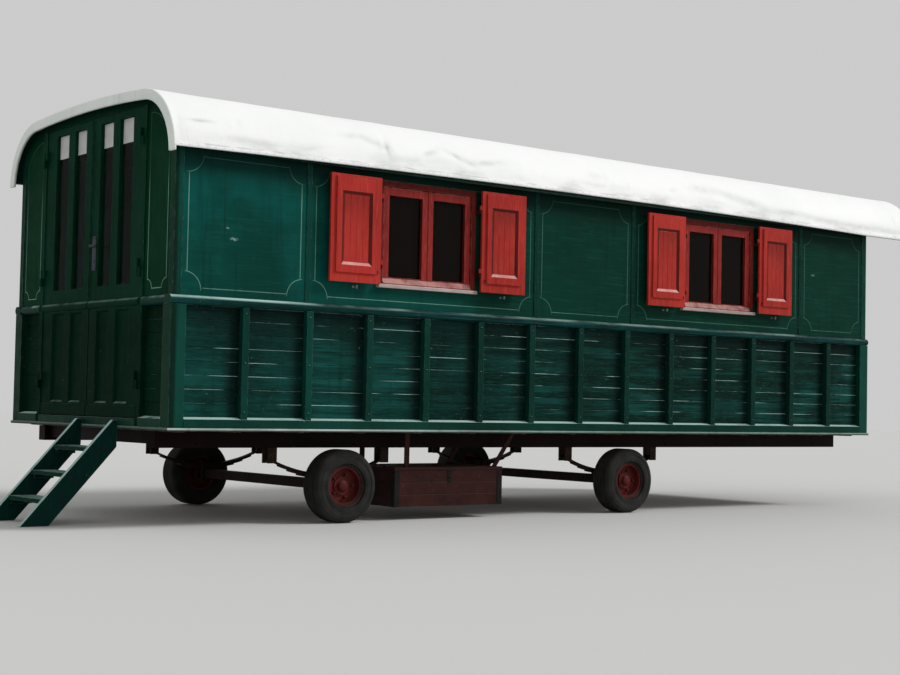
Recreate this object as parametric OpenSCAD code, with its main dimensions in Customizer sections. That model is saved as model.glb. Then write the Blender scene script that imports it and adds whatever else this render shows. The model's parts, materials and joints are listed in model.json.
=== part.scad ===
// Showman's living wagon: a long panelled timber body with a rounded roof, standing on two axles.
// Lengths in mm. +X runs along the body away from the entrance, -Y is the near side, z = 0 is the ground.

/* [Body] */
// Length of the body over the end rails
body_l = 7200; // [6500:50:8000]
// Width of the body over the side rails
body_w = 2480; // [2300:20:2600]
// Height of the body's lower edge above the ground
body_z = 640; // [620:5:700]
// Height of the top of the waist rail above the lower edge
waist_h = 884; // [860:2:920]
// Height of the floor above the lower edge
floor_h = 75; // [70:1:85]

/* [Roof] */
// Height of the eaves above the lower edge
eave_h = 1823; // [1815:1:1860]
// Height of the crown above the lower edge
crown_h = 2290; // [2280:5:2330]
// How far each eave stands out past the side rail
eave_out = 70; // [60:5:90]
// Radius of the rounded shoulders
shoulder_r = 470; // [440:5:500]
// Thickness of the roof with its covering
roof_t = 55; // [45:1:60]
// Thickness of the covering alone
cover_t = 12; // [8:1:14]
// How far the roof stands out over the entrance end
roof_front = 45; // [35:5:80]
// How far the roof stands out over the closed end
roof_rear = 610; // [400:10:800]

/* [Walls] */
// Thickness of the lower boards
board_t = 35; // [25:1:35]
// How far the lower boards lie behind the rails
board_in = 55; // [50:1:60]
// Thickness of the upper walls
panel_t = 50; // [40:1:50]
// How far the upper panels lie behind the rails
panel_in = 25; // [20:1:30]
// Depth of the waist and bottom rails, front to back
rail_d = 90; // [80:1:95]
// Height of the waist rail
waist_rail_h = 60; // [50:1:70]
// Number of ribs along each side
rib_n = 13; // [9:1:17]
// Width of each rib
rib_w = 50; // [40:1:60]
// How far the ribs lie behind the rails
rib_in = 5; // [3:1:8]
// Width of the lower corner posts
post_w = 110; // [90:5:120]
// Distance of the first panel joint from the entrance end
joint_a = 1052; // [1040:1:1070]
// Width of a plain panel; a panel with a window is twice as wide
joint_pitch = 1039; // [1030:1:1050]
// Width of the battens over the panel joints
batten_w = 36; // [25:1:45]
// How far the battens stand out from the panels
batten_t = 6; // [4:1:8]

/* [Windows and shutters] */
// Distance of the first window's middle from the entrance end
window_a = 2075; // [2050:1:2110]
// Distance of the second window's middle from the entrance end
window_b = 5166; // [5140:1:5250]
// Height of the window frame's foot above the lower edge
window_h = 1052; // [1040:1:1056]
// Width of a window frame
window_w = 884; // [870:2:890]
// Height of a window frame
window_tall = 738; // [720:1:744]
// Height of a shutter
shutter_tall = 750; // [730:1:756]
// Width of a shutter
shutter_w = 426; // [400:1:430]
// Thickness of a shutter
shutter_t = 30; // [28:1:34]

/* [Doors] */
// Width of the doorway between the jambs
doorway_w = 1534; // [1400:2:1560]
// Height of the doorway's head above the lower edge
doorway_h = 2168; // [2100:1:2170]
// Thickness of a door leaf
leaf_t = 45; // [40:1:48]
// Gap around a closed door leaf
leaf_gap = 3; // [3:1:5]

/* [Steps] */
// Distance of the steps' middle from the middle of the body
steps_y = -245; // [-330:5:245]
// Width of the steps over the stringers
steps_w = 590; // [500:10:700]
// Number of treads
tread_n = 3; // [2:1:4]

/* [Wheels] */
// Radius of a tyre
tyre_r = 258; // [245:1:260]
// Width of a tyre
tyre_w = 190; // [160:2:195]
// Distance of the first axle from the entrance end
axle_a = 1480; // [1400:10:1600]
// Distance of the second axle from the entrance end
axle_b = 4265; // [4200:5:4400]
// How far a tyre's outer face lies behind the side rail
tyre_in = 112; // [110:1:130]

/* [Hidden] */
$fn = 64;
side = body_w / 2;
waist_top = body_z + waist_h;
waist_foot = waist_top - waist_rail_h;
floor_top = body_z + floor_h;
eave_z = body_z + eave_h;
crown_z = body_z + crown_h;
roof_half = side + eave_out;
sh_y = roof_half - shoulder_r;
shoulder_drop = 33;
sh_z = eave_z - shoulder_drop;
crown_up = crown_z - sh_z;
crown_r = (sh_y * sh_y + crown_up * crown_up - shoulder_r * shoulder_r) / (2 * (crown_up - shoulder_r));
drip_h = 20;
drip_out = 6;
drip_w = 20;
ledge_back = 93;
ledge_front = 78;
ledge_nose = 2;
rib_pitch = (body_l - post_w - 2 * rib_in) / (rib_n + 1);
rib_0 = rib_in + post_w / 2;
upper_post = 60;
upper_post_in = 20;
jamb_w = 48;
jamb_in = 12;
tyre_y = side - tyre_in;
leaf_in = 20;
meet_gap = 8;
threshold = 5;
leaf_foot = floor_top + threshold;
leaf_head = body_z + doorway_h - leaf_gap;
leaf_w = doorway_w / 2 - leaf_gap - meet_gap;
kick_t = 8;
kick_gap = 12;
panel_sunk = 18;
panel_sunk_back = 10;
stile_in = 107;
pane_in_w = 192;
muntin_w = 100;
pane_out_w = 204;
lock_rail = 96;
top_rail = 41;
foot_rail = 90;
pane_foot = waist_top + lock_rail;
pane_head = leaf_head - top_rail;
low_panel_foot = leaf_foot + foot_rail;
low_panel_head = waist_foot - kick_gap;
glass_t = 4;
frame_out = 13;
frame_w = 42;
frame_lap = 15;
mullion_w = 100;
sash_in = 1;
sash_stile = 55;
sash_head = 60;
sash_foot = 52;
drip_nose = 22;
drip_lip = 6;
sill_h = 26;
sill_out = 14;
sill_lap = 5;
sill_fall = 5;
pane_back = 20;
door_pin_x = -6;
door_pin_y = doorway_w / 2 - 1;
knuckle_r = 8;
knuckle_h = 60;
door_bolt_r = 4.5;
door_hinge_foot = 250;
door_hinge_waist = 196;
door_hinge_head = 205;
door_hinges = [leaf_foot + door_hinge_foot, waist_top + door_hinge_waist, leaf_head - door_hinge_head];
lock_rise = 333;
lock_w = 60;
lock_h = 240;
lock_t = 4;
bracket_t = 8;
bracket_clear = 1;
shutter_drop = 10;
shutter_foot = body_z + window_h - shutter_drop;
shutter_pin_off = window_w / 2 + bracket_clear + bracket_t / 2;
shutter_gap = 13;
shutter_out = 57;
shutter_front = side + shutter_out;
shutter_pin_out = 38;
shutter_pin_y = side + shutter_pin_out;
board_front = 12;
rim_side = 42;
rim_foot = 66;
rim_head = 18;
field_stile = 42;
field_foot = 52;
field_head = 100;
eye_r = 9;
eye_h = 30;
eye_rest = 0.3;
shutter_bolt_r = 5;
shutter_hinge_foot = 110;
shutter_hinge_head = 170;
shutter_hinges = [shutter_foot + shutter_hinge_foot, shutter_foot + shutter_tall - shutter_hinge_head];
chassis_drop = 10;
chassis_top = body_z - chassis_drop;
bearer_h = 55;
bearer_w = 60;
bearer_0 = rib_in + post_w + bearer_w / 2 + 1;
member_h = 85;
member_w = 80;
member_end = 160;
member_off = 420;
rail_h = 108;
rail_end = 80;
rail_w = 100;
spring_clear = 73;
spring_y = tyre_y - tyre_w - spring_clear;
chassis_y0 = spring_y - rail_w / 2;
chassis_y1 = spring_y + rail_w / 2;
hub_r = 20;
hub_play = 0.05;
rim_r = 140;
joint_gap = 0.5;
hinge_play = 0.06;
beam_half = 35;
spring_half = 480;
step_reach = 672;
step_head = 37;
step_up = 58;
step_top = body_z + step_up;
step_foot = 196;
step_run = (step_reach - step_head) / step_top;
step_drop = 14;
tread_rise = (step_top - step_drop) / (tread_n + 1);
tread_t = 28;
tread_d = 178;
tread_out = 6;
plank_t = 38;
box_l = 995;
box_w = 620;
box_h = 265;
box_low = 545;
box_in = 200;
box_y = side - box_in;
box_t = 20;
lid_t = 22;
lid_out = 12;
iron_t = 12;
iron_w = 40;
strap_off = 123;
strap_reach = 600;
brace_reach = 60;
strap_k = round((axle_a + strap_reach - rib_0) / rib_pitch);
strap_x = rib_0 + strap_k * rib_pitch;
box_x = strap_x - strap_off;
brace_x = rib_0 + ceil((box_x + box_l + brace_reach - rib_0) / rib_pitch) * rib_pitch;
shift_x = -(body_l + roof_rear - step_reach) / 2;

// Box between two opposite corners
module block(a, b) {
  translate(a)
    cube(b - a);
}

// Moves the body so that the origin lies under the middle of the whole part
module placed() {
  translate([shift_x, 0, 0])
    children();
}

// Copies of a piece on both sides of the body
module both_sides() {
  children();
  mirror([0, 1, 0])
    children();
}

// Carries a profile drawn across the body along it, from x0 to x1
module run_x(x0, x1) {
  translate([x0, 0, 0])
    rotate([90, 0, 90])
      linear_extrude(height = x1 - x0)
        children();
}

// Carries a profile drawn along the body across it, from y0 to y1
module run_y(y0, y1) {
  translate([0, y1, 0])
    rotate([90, 0, 0])
      linear_extrude(height = y1 - y0)
        children();
}

// Roof outline seen from an end, set in by a distance: a slightly cambered crown with rounded shoulders
module roof_outline(inset) {
  join_y = sh_y + (shoulder_r - inset) * sh_y / (crown_r - shoulder_r);
  intersection() {
    translate([0, crown_z - crown_r])
      circle(r = crown_r - inset, $fn = 720);
    translate([-join_y, sh_z])
      square([2 * join_y, crown_up + 50]);
  }
  for (s = [-1, 1])
    translate([s * sh_y, sh_z])
      circle(r = shoulder_r - inset, $fn = 120);
  translate([-sh_y, body_z])
    square([2 * sh_y, sh_z - body_z + 1]);
  translate([-roof_half + inset, body_z])
    square([2 * (roof_half - inset), sh_z - body_z]);
}

// Space under the roof between x0 and x1, that the walls are cut to
module under_roof(x0, x1) {
  run_x(x0, x1)
    roof_outline(roof_t);
}

// Ledge profile of the bottom rail, with its top sloping down to the front
module ledge_profile() {
  polygon([
    [-side + ledge_nose, body_z + drip_h],
    [-side + rail_d, body_z + drip_h],
    [-side + rail_d, body_z + ledge_back],
    [-side + board_in, body_z + ledge_back],
    [-side + ledge_nose, body_z + ledge_front]
  ]);
}

// Waist rail profile with a rounded nose
module waist_profile() {
  nose = waist_rail_h / 2;
  translate([-side + nose, waist_foot + nose])
    circle(r = nose);
  translate([-side + nose, waist_foot])
    square([rail_d - nose, waist_rail_h]);
}

// Rib profile that stands on the sloping ledge
module rib_profile() {
  slope = (ledge_back - ledge_front) / (board_in - ledge_nose);
  polygon([
    [-side + rib_in, body_z + ledge_front + (rib_in - ledge_nose) * slope],
    [-side + board_in, body_z + ledge_back],
    [-side + board_in, waist_foot],
    [-side + rib_in, waist_foot]
  ]);
}

// Turns a piece drawn for the near side round to the entrance end
module to_entrance() {
  translate([side, 0, 0])
    rotate([0, 0, -90])
      children();
}

// Turns a piece drawn for the near side round to the closed end
module to_rear() {
  translate([body_l - side, 0, 0])
    rotate([0, 0, 90])
      children();
}

module chassis_rails() {
  color("#4a2a2a")
    both_sides()
      block([rail_end, -chassis_y1, chassis_top - rail_h], [body_l - rail_end, -chassis_y0, chassis_top]);
}

module cross_members() {
  last = body_l - member_end;
  between = (axle_b + member_off + last) / 2;
  color("#43292a")
    for (x = [member_end, axle_a - member_off, axle_a + member_off, axle_b - member_off, axle_b + member_off,
        between, last])
      block([x - member_w / 2, -chassis_y0, chassis_top - member_h],
        [x + member_w / 2, chassis_y0, chassis_top]);
}

module axles() {
  beam_end = tyre_y - tyre_w - 25;
  stub_end = tyre_y - 60;
  color("#38302c")
    for (x = [axle_a, axle_b]) {
      block([x - beam_half, -beam_end, tyre_r - beam_half], [x + beam_half, beam_end, tyre_r + beam_half]);
      translate([x, 0, tyre_r])
        rotate([90, 0, 0])
          cylinder(r = hub_r, h = 2 * stub_end, center = true);
    }
}

// Leaf spring with its eyes and the hangers that carry them
module spring_set(x) {
  leaf = 9;
  leaves = 5;
  leaf_w = 60;
  leaf_step = 80;
  arc_r = 1150;
  eye_out_r = 18;
  clamp_w = 90;
  clamp_h = 8;
  hanger_y = 36;
  hanger_t = 12;
  hanger_w = 70;
  hanger_low = 25;
  seat_z = tyre_r + beam_half;
  arc_z = seat_z + arc_r + leaves * leaf;
  eye_z = arc_z - sqrt(pow(arc_r + leaf / 2, 2) - spring_half * spring_half);
  translate([x, 0, 0])
    run_y(-leaf_w / 2, leaf_w / 2) {
      for (i = [0:leaves - 1])
        intersection() {
          translate([0, arc_z])
            difference() {
              circle(r = arc_r + (i + 1) * leaf, $fn = 240);
              circle(r = arc_r + i * leaf, $fn = 240);
            }
          translate([-spring_half + leaf_step * i, 0])
            square([2 * (spring_half - leaf_step * i), chassis_top]);
        }
      for (s = [-1, 1])
        translate([s * spring_half, eye_z])
          circle(r = eye_out_r);
      translate([-clamp_w / 2, seat_z])
        square([clamp_w, leaves * leaf + clamp_h]);
    }
  for (s = [-1, 1])
    for (t = [-1, 1])
      translate([x + s * spring_half, t * hanger_y, 0])
        block([-hanger_w / 2, -hanger_t / 2, eye_z - hanger_low],
          [hanger_w / 2, hanger_t / 2, chassis_top - rail_h]);
}

module spring_sets() {
  color("#332c2a")
    for (x = [axle_a, axle_b])
      both_sides()
        translate([0, -spring_y, 0])
          spring_set(x);
}

module floor_bearers() {
  color("#6a4a38")
    for (k = [0:rib_n + 1]) {
      x = min(max(rib_0 + k * rib_pitch, bearer_0), body_l - bearer_0);
      block([x - bearer_w / 2, -side + rail_d, chassis_top],
        [x + bearer_w / 2, side - rail_d, chassis_top + bearer_h]);
    }
}

module floor_deck() {
  post_end = rib_in + post_w;
  color("#8a6a4a")
    difference() {
      block([rail_d, -side + rail_d, chassis_top + bearer_h], [body_l - rail_d, side - rail_d, floor_top]);
      for (x = [0, body_l - post_end])
        for (y = [-side, side - post_end])
          block([x, y, chassis_top], [x + post_end, y + post_end, floor_top + 1]);
    }
}

module corner_post() {
  block([rib_in, -side + rib_in, body_z + drip_h], [rib_in + post_w, -side + rib_in + post_w, waist_foot]);
  intersection() {
    block([upper_post_in, -side + upper_post_in, waist_top],
      [upper_post_in + upper_post, -side + upper_post_in + upper_post, crown_z]);
    under_roof(0, body_l);
  }
}

module corner_posts() {
  color("#12493a")
    both_sides() {
      corner_post();
      translate([body_l, 0, 0])
        mirror([1, 0, 0])
          corner_post();
    }
}

module bottom_rails() {
  post_end = rib_in + post_w;
  color("#16503f") {
    both_sides()
      run_x(post_end, body_l - post_end)
        ledge_profile();
    to_rear()
      run_x(-side + post_end, side - post_end)
        ledge_profile();
    to_entrance() {
      run_x(-side + post_end, -doorway_w / 2 - jamb_w)
        ledge_profile();
      run_x(doorway_w / 2 + jamb_w, side - post_end)
        ledge_profile();
    }
    block([ledge_nose, -doorway_w / 2, body_z + drip_h], [rail_d, doorway_w / 2, floor_top - 3]);
  }
}

module drip_edge() {
  color("#a9c4b4") {
    both_sides()
      block([-drip_out, -side - drip_out, body_z], [body_l + drip_out, -side + drip_w, body_z + drip_h]);
    for (x = [-drip_out, body_l - drip_w])
      block([x, -side + drip_w + joint_gap, body_z],
        [x + drip_w + drip_out, side - drip_w - joint_gap, body_z + drip_h]);
  }
}

module lower_wall() {
  post_end = rib_in + post_w;
  block([post_end, -side + board_in, body_z + ledge_back],
    [body_l - post_end, -side + board_in + board_t, waist_foot]);
}

module near_lower_wall() {
  color("#12473a")
    lower_wall();
}

module far_lower_wall() {
  color("#12473a")
    mirror([0, 1, 0])
      lower_wall();
}

module end_lower_walls() {
  post_end = side - rib_in - post_w;
  color("#12473a") {
    to_rear()
      block([-post_end, -side + board_in, body_z + ledge_back],
        [post_end, -side + board_in + board_t, waist_foot]);
    both_sides()
      block([board_in, -post_end, body_z + ledge_back],
        [board_in + board_t, -doorway_w / 2 - jamb_w, waist_foot]);
  }
}

module upper_batten(x) {
  intersection() {
    block([x - batten_w / 2, -side + panel_in - batten_t, waist_top],
      [x + batten_w / 2, -side + panel_in, crown_z]);
    under_roof(0, body_l);
  }
}

module wall_ribs() {
  rear_pitch = (body_w - post_w - 2 * rib_in) / 5;
  color("#155041") {
    both_sides() {
      for (k = [1:rib_n])
        run_x(rib_0 + k * rib_pitch - rib_w / 2, rib_0 + k * rib_pitch + rib_w / 2)
          rib_profile();
      for (k = [0, 2, 3, 5])
        upper_batten(joint_a + k * joint_pitch);
    }
    to_rear()
      for (k = [-1.5, -0.5, 0.5, 1.5])
        run_x(k * rear_pitch - rib_w / 2, k * rear_pitch + rib_w / 2)
          rib_profile();
  }
}

module waist_rails() {
  color("#1a5a48") {
    both_sides()
      run_x(0, body_l)
        waist_profile();
    to_rear()
      run_x(-side + rail_d + joint_gap, side - rail_d - joint_gap)
        waist_profile();
    to_entrance() {
      run_x(-side + rail_d + joint_gap, -doorway_w / 2 - jamb_w)
        waist_profile();
      run_x(doorway_w / 2 + jamb_w, side - rail_d - joint_gap)
        waist_profile();
    }
  }
}

// Upper side wall with its two window openings
module upper_wall() {
  post_end = upper_post_in + upper_post;
  difference() {
    intersection() {
      block([post_end, -side + panel_in, waist_top],
        [body_l - post_end, -side + panel_in + panel_t, crown_z]);
      under_roof(0, body_l);
    }
    for (x = [window_a, window_b])
      block([x - window_w / 2 + frame_lap, -side, body_z + window_h + frame_lap],
        [x + window_w / 2 - frame_lap, 0, body_z + window_h + window_tall - frame_lap]);
  }
}

module near_upper_wall() {
  color("#0f4a3a")
    upper_wall();
}

module far_upper_wall() {
  color("#0f4a3a")
    mirror([0, 1, 0])
      upper_wall();
}

module end_upper_walls() {
  post_end = side - upper_post_in - upper_post;
  jamb_end = doorway_w / 2 + jamb_w;
  color("#0f4a3a")
    intersection() {
      union() {
        both_sides()
          block([panel_in, -post_end, waist_top], [panel_in + panel_t, -jamb_end, crown_z]);
        block([panel_in, -jamb_end + joint_gap, body_z + doorway_h],
          [panel_in + panel_t, jamb_end - joint_gap, crown_z]);
        block([body_l - panel_in - panel_t, -post_end, waist_top], [body_l - panel_in, post_end, crown_z]);
      }
      under_roof(0, body_l);
    }
}

// Jambs with the lower halves of the hinges, each with the pin that its leaf turns on
module door_jambs() {
  plate_w = 30;
  color("#155041")
    both_sides() {
      block([jamb_in, -doorway_w / 2 - jamb_w, body_z + drip_h],
        [rail_d, -doorway_w / 2, body_z + doorway_h]);
      for (z = door_hinges) {
        translate([door_pin_x, -door_pin_y, z - knuckle_h]) {
          cylinder(r = knuckle_r, h = knuckle_h - eye_rest);
          cylinder(r = door_bolt_r, h = 2 * knuckle_h);
        }
        block([door_pin_x, -doorway_w / 2 - plate_w, z - knuckle_h], [jamb_in, -doorway_w / 2, z - eye_rest]);
      }
    }
}

// Door leaf drawn for the near side: glazed above, boarded below, with its share of the waist rail
module door_leaf() {
  plate_w = 40;
  y0 = -doorway_w / 2 + leaf_gap;
  y1 = y0 + leaf_w;
  x0 = leaf_in;
  x1 = leaf_in + leaf_t;
  difference() {
    block([x0, y0, leaf_foot], [x1, y1, leaf_head]);
    block([x0 - 1, y1 - stile_in - pane_in_w, pane_foot], [x1 + 1, y1 - stile_in, pane_head]);
    block([x0 - 1, y1 - stile_in - pane_in_w - muntin_w - pane_out_w, pane_foot],
      [x1 + 1, y1 - stile_in - pane_in_w - muntin_w, pane_head]);
    for (x = [[x0 - 1, x0 + panel_sunk], [x1 - panel_sunk_back, x1 + 1]]) {
      block([x[0], y1 - stile_in - pane_in_w, low_panel_foot], [x[1], y1 - stile_in, low_panel_head]);
      block([x[0], y1 - stile_in - pane_in_w - muntin_w - pane_out_w, low_panel_foot],
        [x[1], y1 - stile_in - pane_in_w - muntin_w, low_panel_head]);
    }
  }
  block([x0 - kick_t, y0 + kick_gap, leaf_foot], [x0, y1, low_panel_foot - kick_gap]);
  intersection() {
    to_entrance()
      run_x(-y1, -y0)
        waist_profile();
    block([-rail_d, y0, waist_foot], [x0, y1, waist_top]);
  }
  for (z = door_hinges)
    difference() {
      union() {
        translate([door_pin_x, -door_pin_y, z])
          cylinder(r = knuckle_r, h = knuckle_h);
        block([door_pin_x, -door_pin_y, z], [x0, y0 + plate_w, z + knuckle_h]);
      }
      translate([door_pin_x, -door_pin_y, z - 1])
        cylinder(r = door_bolt_r + hinge_play, h = knuckle_h + 2);
    }
}

// The two panes of a leaf
module door_glass() {
  y1 = -doorway_w / 2 + leaf_gap + leaf_w;
  x0 = leaf_in + leaf_t / 2 - glass_t / 2;
  block([x0, y1 - stile_in - pane_in_w, pane_foot], [x0 + glass_t, y1 - stile_in, pane_head]);
  block([x0, y1 - stile_in - pane_in_w - muntin_w - pane_out_w, pane_foot],
    [x0 + glass_t, y1 - stile_in - pane_in_w - muntin_w, pane_head]);
}

module near_door_leaf() {
  color("#124a3b")
    door_leaf();
}

module near_door_glass() {
  color("#9fb4b0", 0.4)
    door_glass();
}

module far_door_leaf() {
  color("#124a3b")
    mirror([0, 1, 0])
      door_leaf();
}

module far_door_glass() {
  color("#9fb4b0", 0.4)
    mirror([0, 1, 0])
      door_glass();
}

// Lock plate with a lever handle on the near leaf's meeting stile
module door_lock() {
  y = -meet_gap - stile_in / 2;
  z = waist_top + lock_rise;
  lever_z = z + 50;
  lever_out = 40;
  lever_t = 12;
  lever_l = 95;
  neck_r = 9;
  color("#7d8a92") {
    block([leaf_in - lock_t, y - lock_w / 2, z - lock_h / 2], [leaf_in, y + lock_w / 2, z + lock_h / 2]);
    translate([leaf_in - lever_out + lever_t - 1, y, lever_z])
      rotate([0, 90, 0])
        cylinder(r = neck_r, h = lever_out - lever_t + 1 - lock_t);
    block([leaf_in - lever_out, y - lever_l, lever_z - neck_r + 1],
      [leaf_in - lever_out + lever_t, y + neck_r, lever_z + neck_r - 1]);
  }
}

// Window frame with two fixed casements, drawn for the near side: each casement has a sloping foot rail
module window_frame(x) {
  z0 = body_z + window_h;
  z1 = z0 + window_tall;
  w = window_w / 2;
  face = -side + panel_in;
  translate([x, 0, 0]) {
    difference() {
      union() {
        block([-w, face - frame_out, z0], [w, face, z1]);
        block([-w + frame_lap, face, z0 + frame_lap], [w - frame_lap, face + panel_t, z1 - frame_lap]);
      }
      for (s = [-1, 1])
        mirror([s < 0 ? 1 : 0, 0, 0]) {
          block([mullion_w / 2, -side, z0 + sash_foot],
            [w - frame_w - sash_stile, 0, z1 - frame_w - sash_head]);
          block([-1, -side, z0 - 1], [w - frame_w, face - sash_in, z1 - frame_w]);
        }
    }
    for (s = [-1, 1])
      mirror([s < 0 ? 1 : 0, 0, 0])
        run_x(sash_in, w - frame_w - sash_in)
          polygon([
            [face, z0],
            [face - drip_nose, z0],
            [face - drip_nose, z0 + drip_lip],
            [face, z0 + sash_foot - drip_lip]
          ]);
  }
}

module window_frames() {
  color("#a83230")
    both_sides()
      for (x = [window_a, window_b])
        window_frame(x);
}

module window_glass() {
  z0 = body_z + window_h + sash_foot;
  z1 = body_z + window_h + window_tall - frame_w - sash_head;
  face = -side + panel_in + pane_back;
  color("#9fb4b0", 0.4)
    both_sides()
      for (x = [window_a, window_b])
        for (s = [-1, 1])
          translate([x, 0, 0])
            mirror([s < 0 ? 1 : 0, 0, 0])
              block([mullion_w / 2, face, z0],
                [window_w / 2 - frame_w - sash_stile, face + glass_t, z1]);
}

module window_sills() {
  z = body_z + window_h;
  color("#d8b8b0")
    both_sides()
      for (x = [window_a, window_b])
        run_x(x - window_w / 2 - sill_lap, x + window_w / 2 + sill_lap)
          polygon([
            [-side - sill_out, z - sill_h],
            [-side + panel_in, z - sill_h],
            [-side + panel_in, z],
            [-side + panel_in - drip_nose, z],
            [-side - sill_out, z - sill_fall]
          ]);
}

// Brackets on the wall, each with the pin that a shutter turns on
module shutter_brackets() {
  color("#2c2c2a")
    both_sides()
      for (x = [window_a, window_b])
        for (s = [-1, 1])
          for (z = shutter_hinges)
            translate([x + s * shutter_pin_off, -shutter_pin_y, z]) {
              cylinder(r = knuckle_r, h = eye_h - eye_rest);
              cylinder(r = shutter_bolt_r, h = 2 * eye_h);
              block([-bracket_t / 2, 0, 0], [bracket_t / 2, shutter_pin_out + panel_in, eye_h - eye_rest]);
            }
}

// Shutter drawn open beside a window: s is -1 on its left and 1 on its right. A framed panel is planted
// on the board, with the board's rim showing round it
module shutter(x, s) {
  x1 = shutter_gap + shutter_w;
  z1 = shutter_foot + shutter_tall;
  translate([x + s * shutter_pin_off, -shutter_front, 0])
    mirror([s < 0 ? 1 : 0, 0, 0])
      difference() {
        union() {
          block([shutter_gap, board_front, shutter_foot], [x1, shutter_t, z1]);
          block([shutter_gap + rim_side, 0, shutter_foot + rim_foot],
            [x1 - rim_side, board_front + 1, z1 - rim_head]);
          translate([0, shutter_front - shutter_pin_y, 0])
            for (z = shutter_hinges) {
              translate([0, 0, z + eye_h])
                cylinder(r = eye_r, h = eye_h);
              block([0, -bracket_t / 2, z + eye_h], [shutter_gap + 1, bracket_t / 2, z + 2 * eye_h]);
            }
        }
        block([shutter_gap + rim_side + field_stile, -1, shutter_foot + rim_foot + field_foot],
          [x1 - rim_side - field_stile, board_front, z1 - rim_head - field_head]);
        for (z = shutter_hinges)
          translate([0, shutter_front - shutter_pin_y, z + eye_h - 1])
            cylinder(r = shutter_bolt_r + hinge_play, h = eye_h + 2);
      }
}

module near_shutter_1() {
  color("#b8332c")
    shutter(window_a, -1);
}

module near_shutter_2() {
  color("#b8332c")
    shutter(window_a, 1);
}

module near_shutter_3() {
  color("#b8332c")
    shutter(window_b, -1);
}

module near_shutter_4() {
  color("#b8332c")
    shutter(window_b, 1);
}

module far_shutters() {
  color("#b8332c")
    mirror([0, 1, 0])
      for (x = [window_a, window_b])
        for (s = [-1, 1])
          shutter(x, s);
}

// Curved boards of the roof
module roof_deck() {
  color("#c9b491")
    intersection() {
      run_x(-roof_front + cover_t, body_l + roof_rear - cover_t)
        difference() {
          roof_outline(cover_t);
          roof_outline(roof_t);
        }
      block([-roof_front, -roof_half, eave_z + cover_t], [body_l + roof_rear, roof_half, crown_z]);
    }
}

// Covering that folds down over the ends and the eaves
module roof_cover() {
  color("#f0f0ee")
    difference() {
      intersection() {
        run_x(-roof_front, body_l + roof_rear)
          difference() {
            roof_outline(0);
            roof_outline(roof_t);
          }
        block([-roof_front - 1, -roof_half - 1, eave_z],
          [body_l + roof_rear + 1, roof_half + 1, crown_z + 1]);
      }
      intersection() {
        run_x(-roof_front + cover_t, body_l + roof_rear - cover_t)
          roof_outline(cover_t);
        block([-roof_front, -roof_half, eave_z + cover_t], [body_l + roof_rear, roof_half, crown_z]);
      }
    }
}

// Side plank of the steps, leaning on the end of the body
module stringer() {
  polygon([
    [-drip_out, step_top],
    [-step_head, step_top],
    [-step_reach, 0],
    [-step_reach + step_foot, 0],
    [-drip_out, (step_reach - step_foot - drip_out) / step_run]
  ]);
}

module step_stringers() {
  color("#1c5a48")
    for (y = [steps_y - steps_w / 2, steps_y + steps_w / 2 - plank_t])
      run_y(y, y + plank_t)
        stringer();
}

module step_treads() {
  color("#1c5a48")
    for (k = [1:tread_n]) {
      z = k * tread_rise;
      x = -step_reach + z * step_run - tread_out;
      block([x, steps_y - steps_w / 2 + plank_t, z - tread_t],
        [x + tread_d, steps_y + steps_w / 2 - plank_t, z]);
    }
}

// Box slung under the floor on irons, two of them slanting
module underfloor_box() {
  x1 = box_x + box_l;
  y0 = -box_y;
  y1 = -box_y + box_w;
  z0 = body_z - box_low;
  z1 = z0 + box_h;
  lid_top = z1 + lid_t;
  color("#5a3430") {
    difference() {
      block([box_x, y0, z0], [x1, y1, z1]);
      block([box_x + box_t, y0 + box_t, z0 + box_t], [x1 - box_t, y1 - box_t, z1 + 1]);
    }
    block([box_x - lid_out, y0 - lid_out, z1 - 1], [x1 + lid_out, y1 + lid_out, lid_top]);
    for (y = [y0 + box_t, y1 - box_t - iron_t]) {
      run_y(y, y + iron_t)
        polygon([
          [x1 - box_t - iron_w, lid_top - 1],
          [x1 - box_t, lid_top - 1],
          [brace_x + iron_w / 2, chassis_top],
          [brace_x - iron_w / 2, chassis_top]
        ]);
      block([strap_x - iron_w / 2, y, lid_top - 1], [strap_x + iron_w / 2, y + iron_t, chassis_top]);
    }
  }
}

// Tyre with rounded shoulders, four grooves and a hollow for the rim
module tyre() {
  w = tyre_w / 2;
  round_r = 36;
  bead_in = 16;
  bead_h = 24;
  groove_w = 8;
  groove_d = 7;
  groove_pitch = 30;
  rotate([90, 0, 0])
    rotate_extrude($fn = 96)
      difference() {
        union() {
          translate([rim_r, -w + bead_in])
            square([tyre_r - rim_r - round_r, tyre_w - 2 * bead_in]);
          translate([rim_r + bead_h, -w])
            square([tyre_r - rim_r - bead_h - round_r, tyre_w]);
          for (s = [-1, 1])
            translate([tyre_r - round_r, s * (w - round_r)])
              circle(r = round_r, $fn = 48);
          translate([tyre_r - round_r - 1, -w + round_r])
            square([round_r + 1, tyre_w - 2 * round_r]);
        }
        for (k = [-1.5, -0.5, 0.5, 1.5])
          translate([tyre_r - groove_d, k * groove_pitch - groove_w / 2])
            square([groove_d + 1, groove_w]);
      }
}

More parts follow.
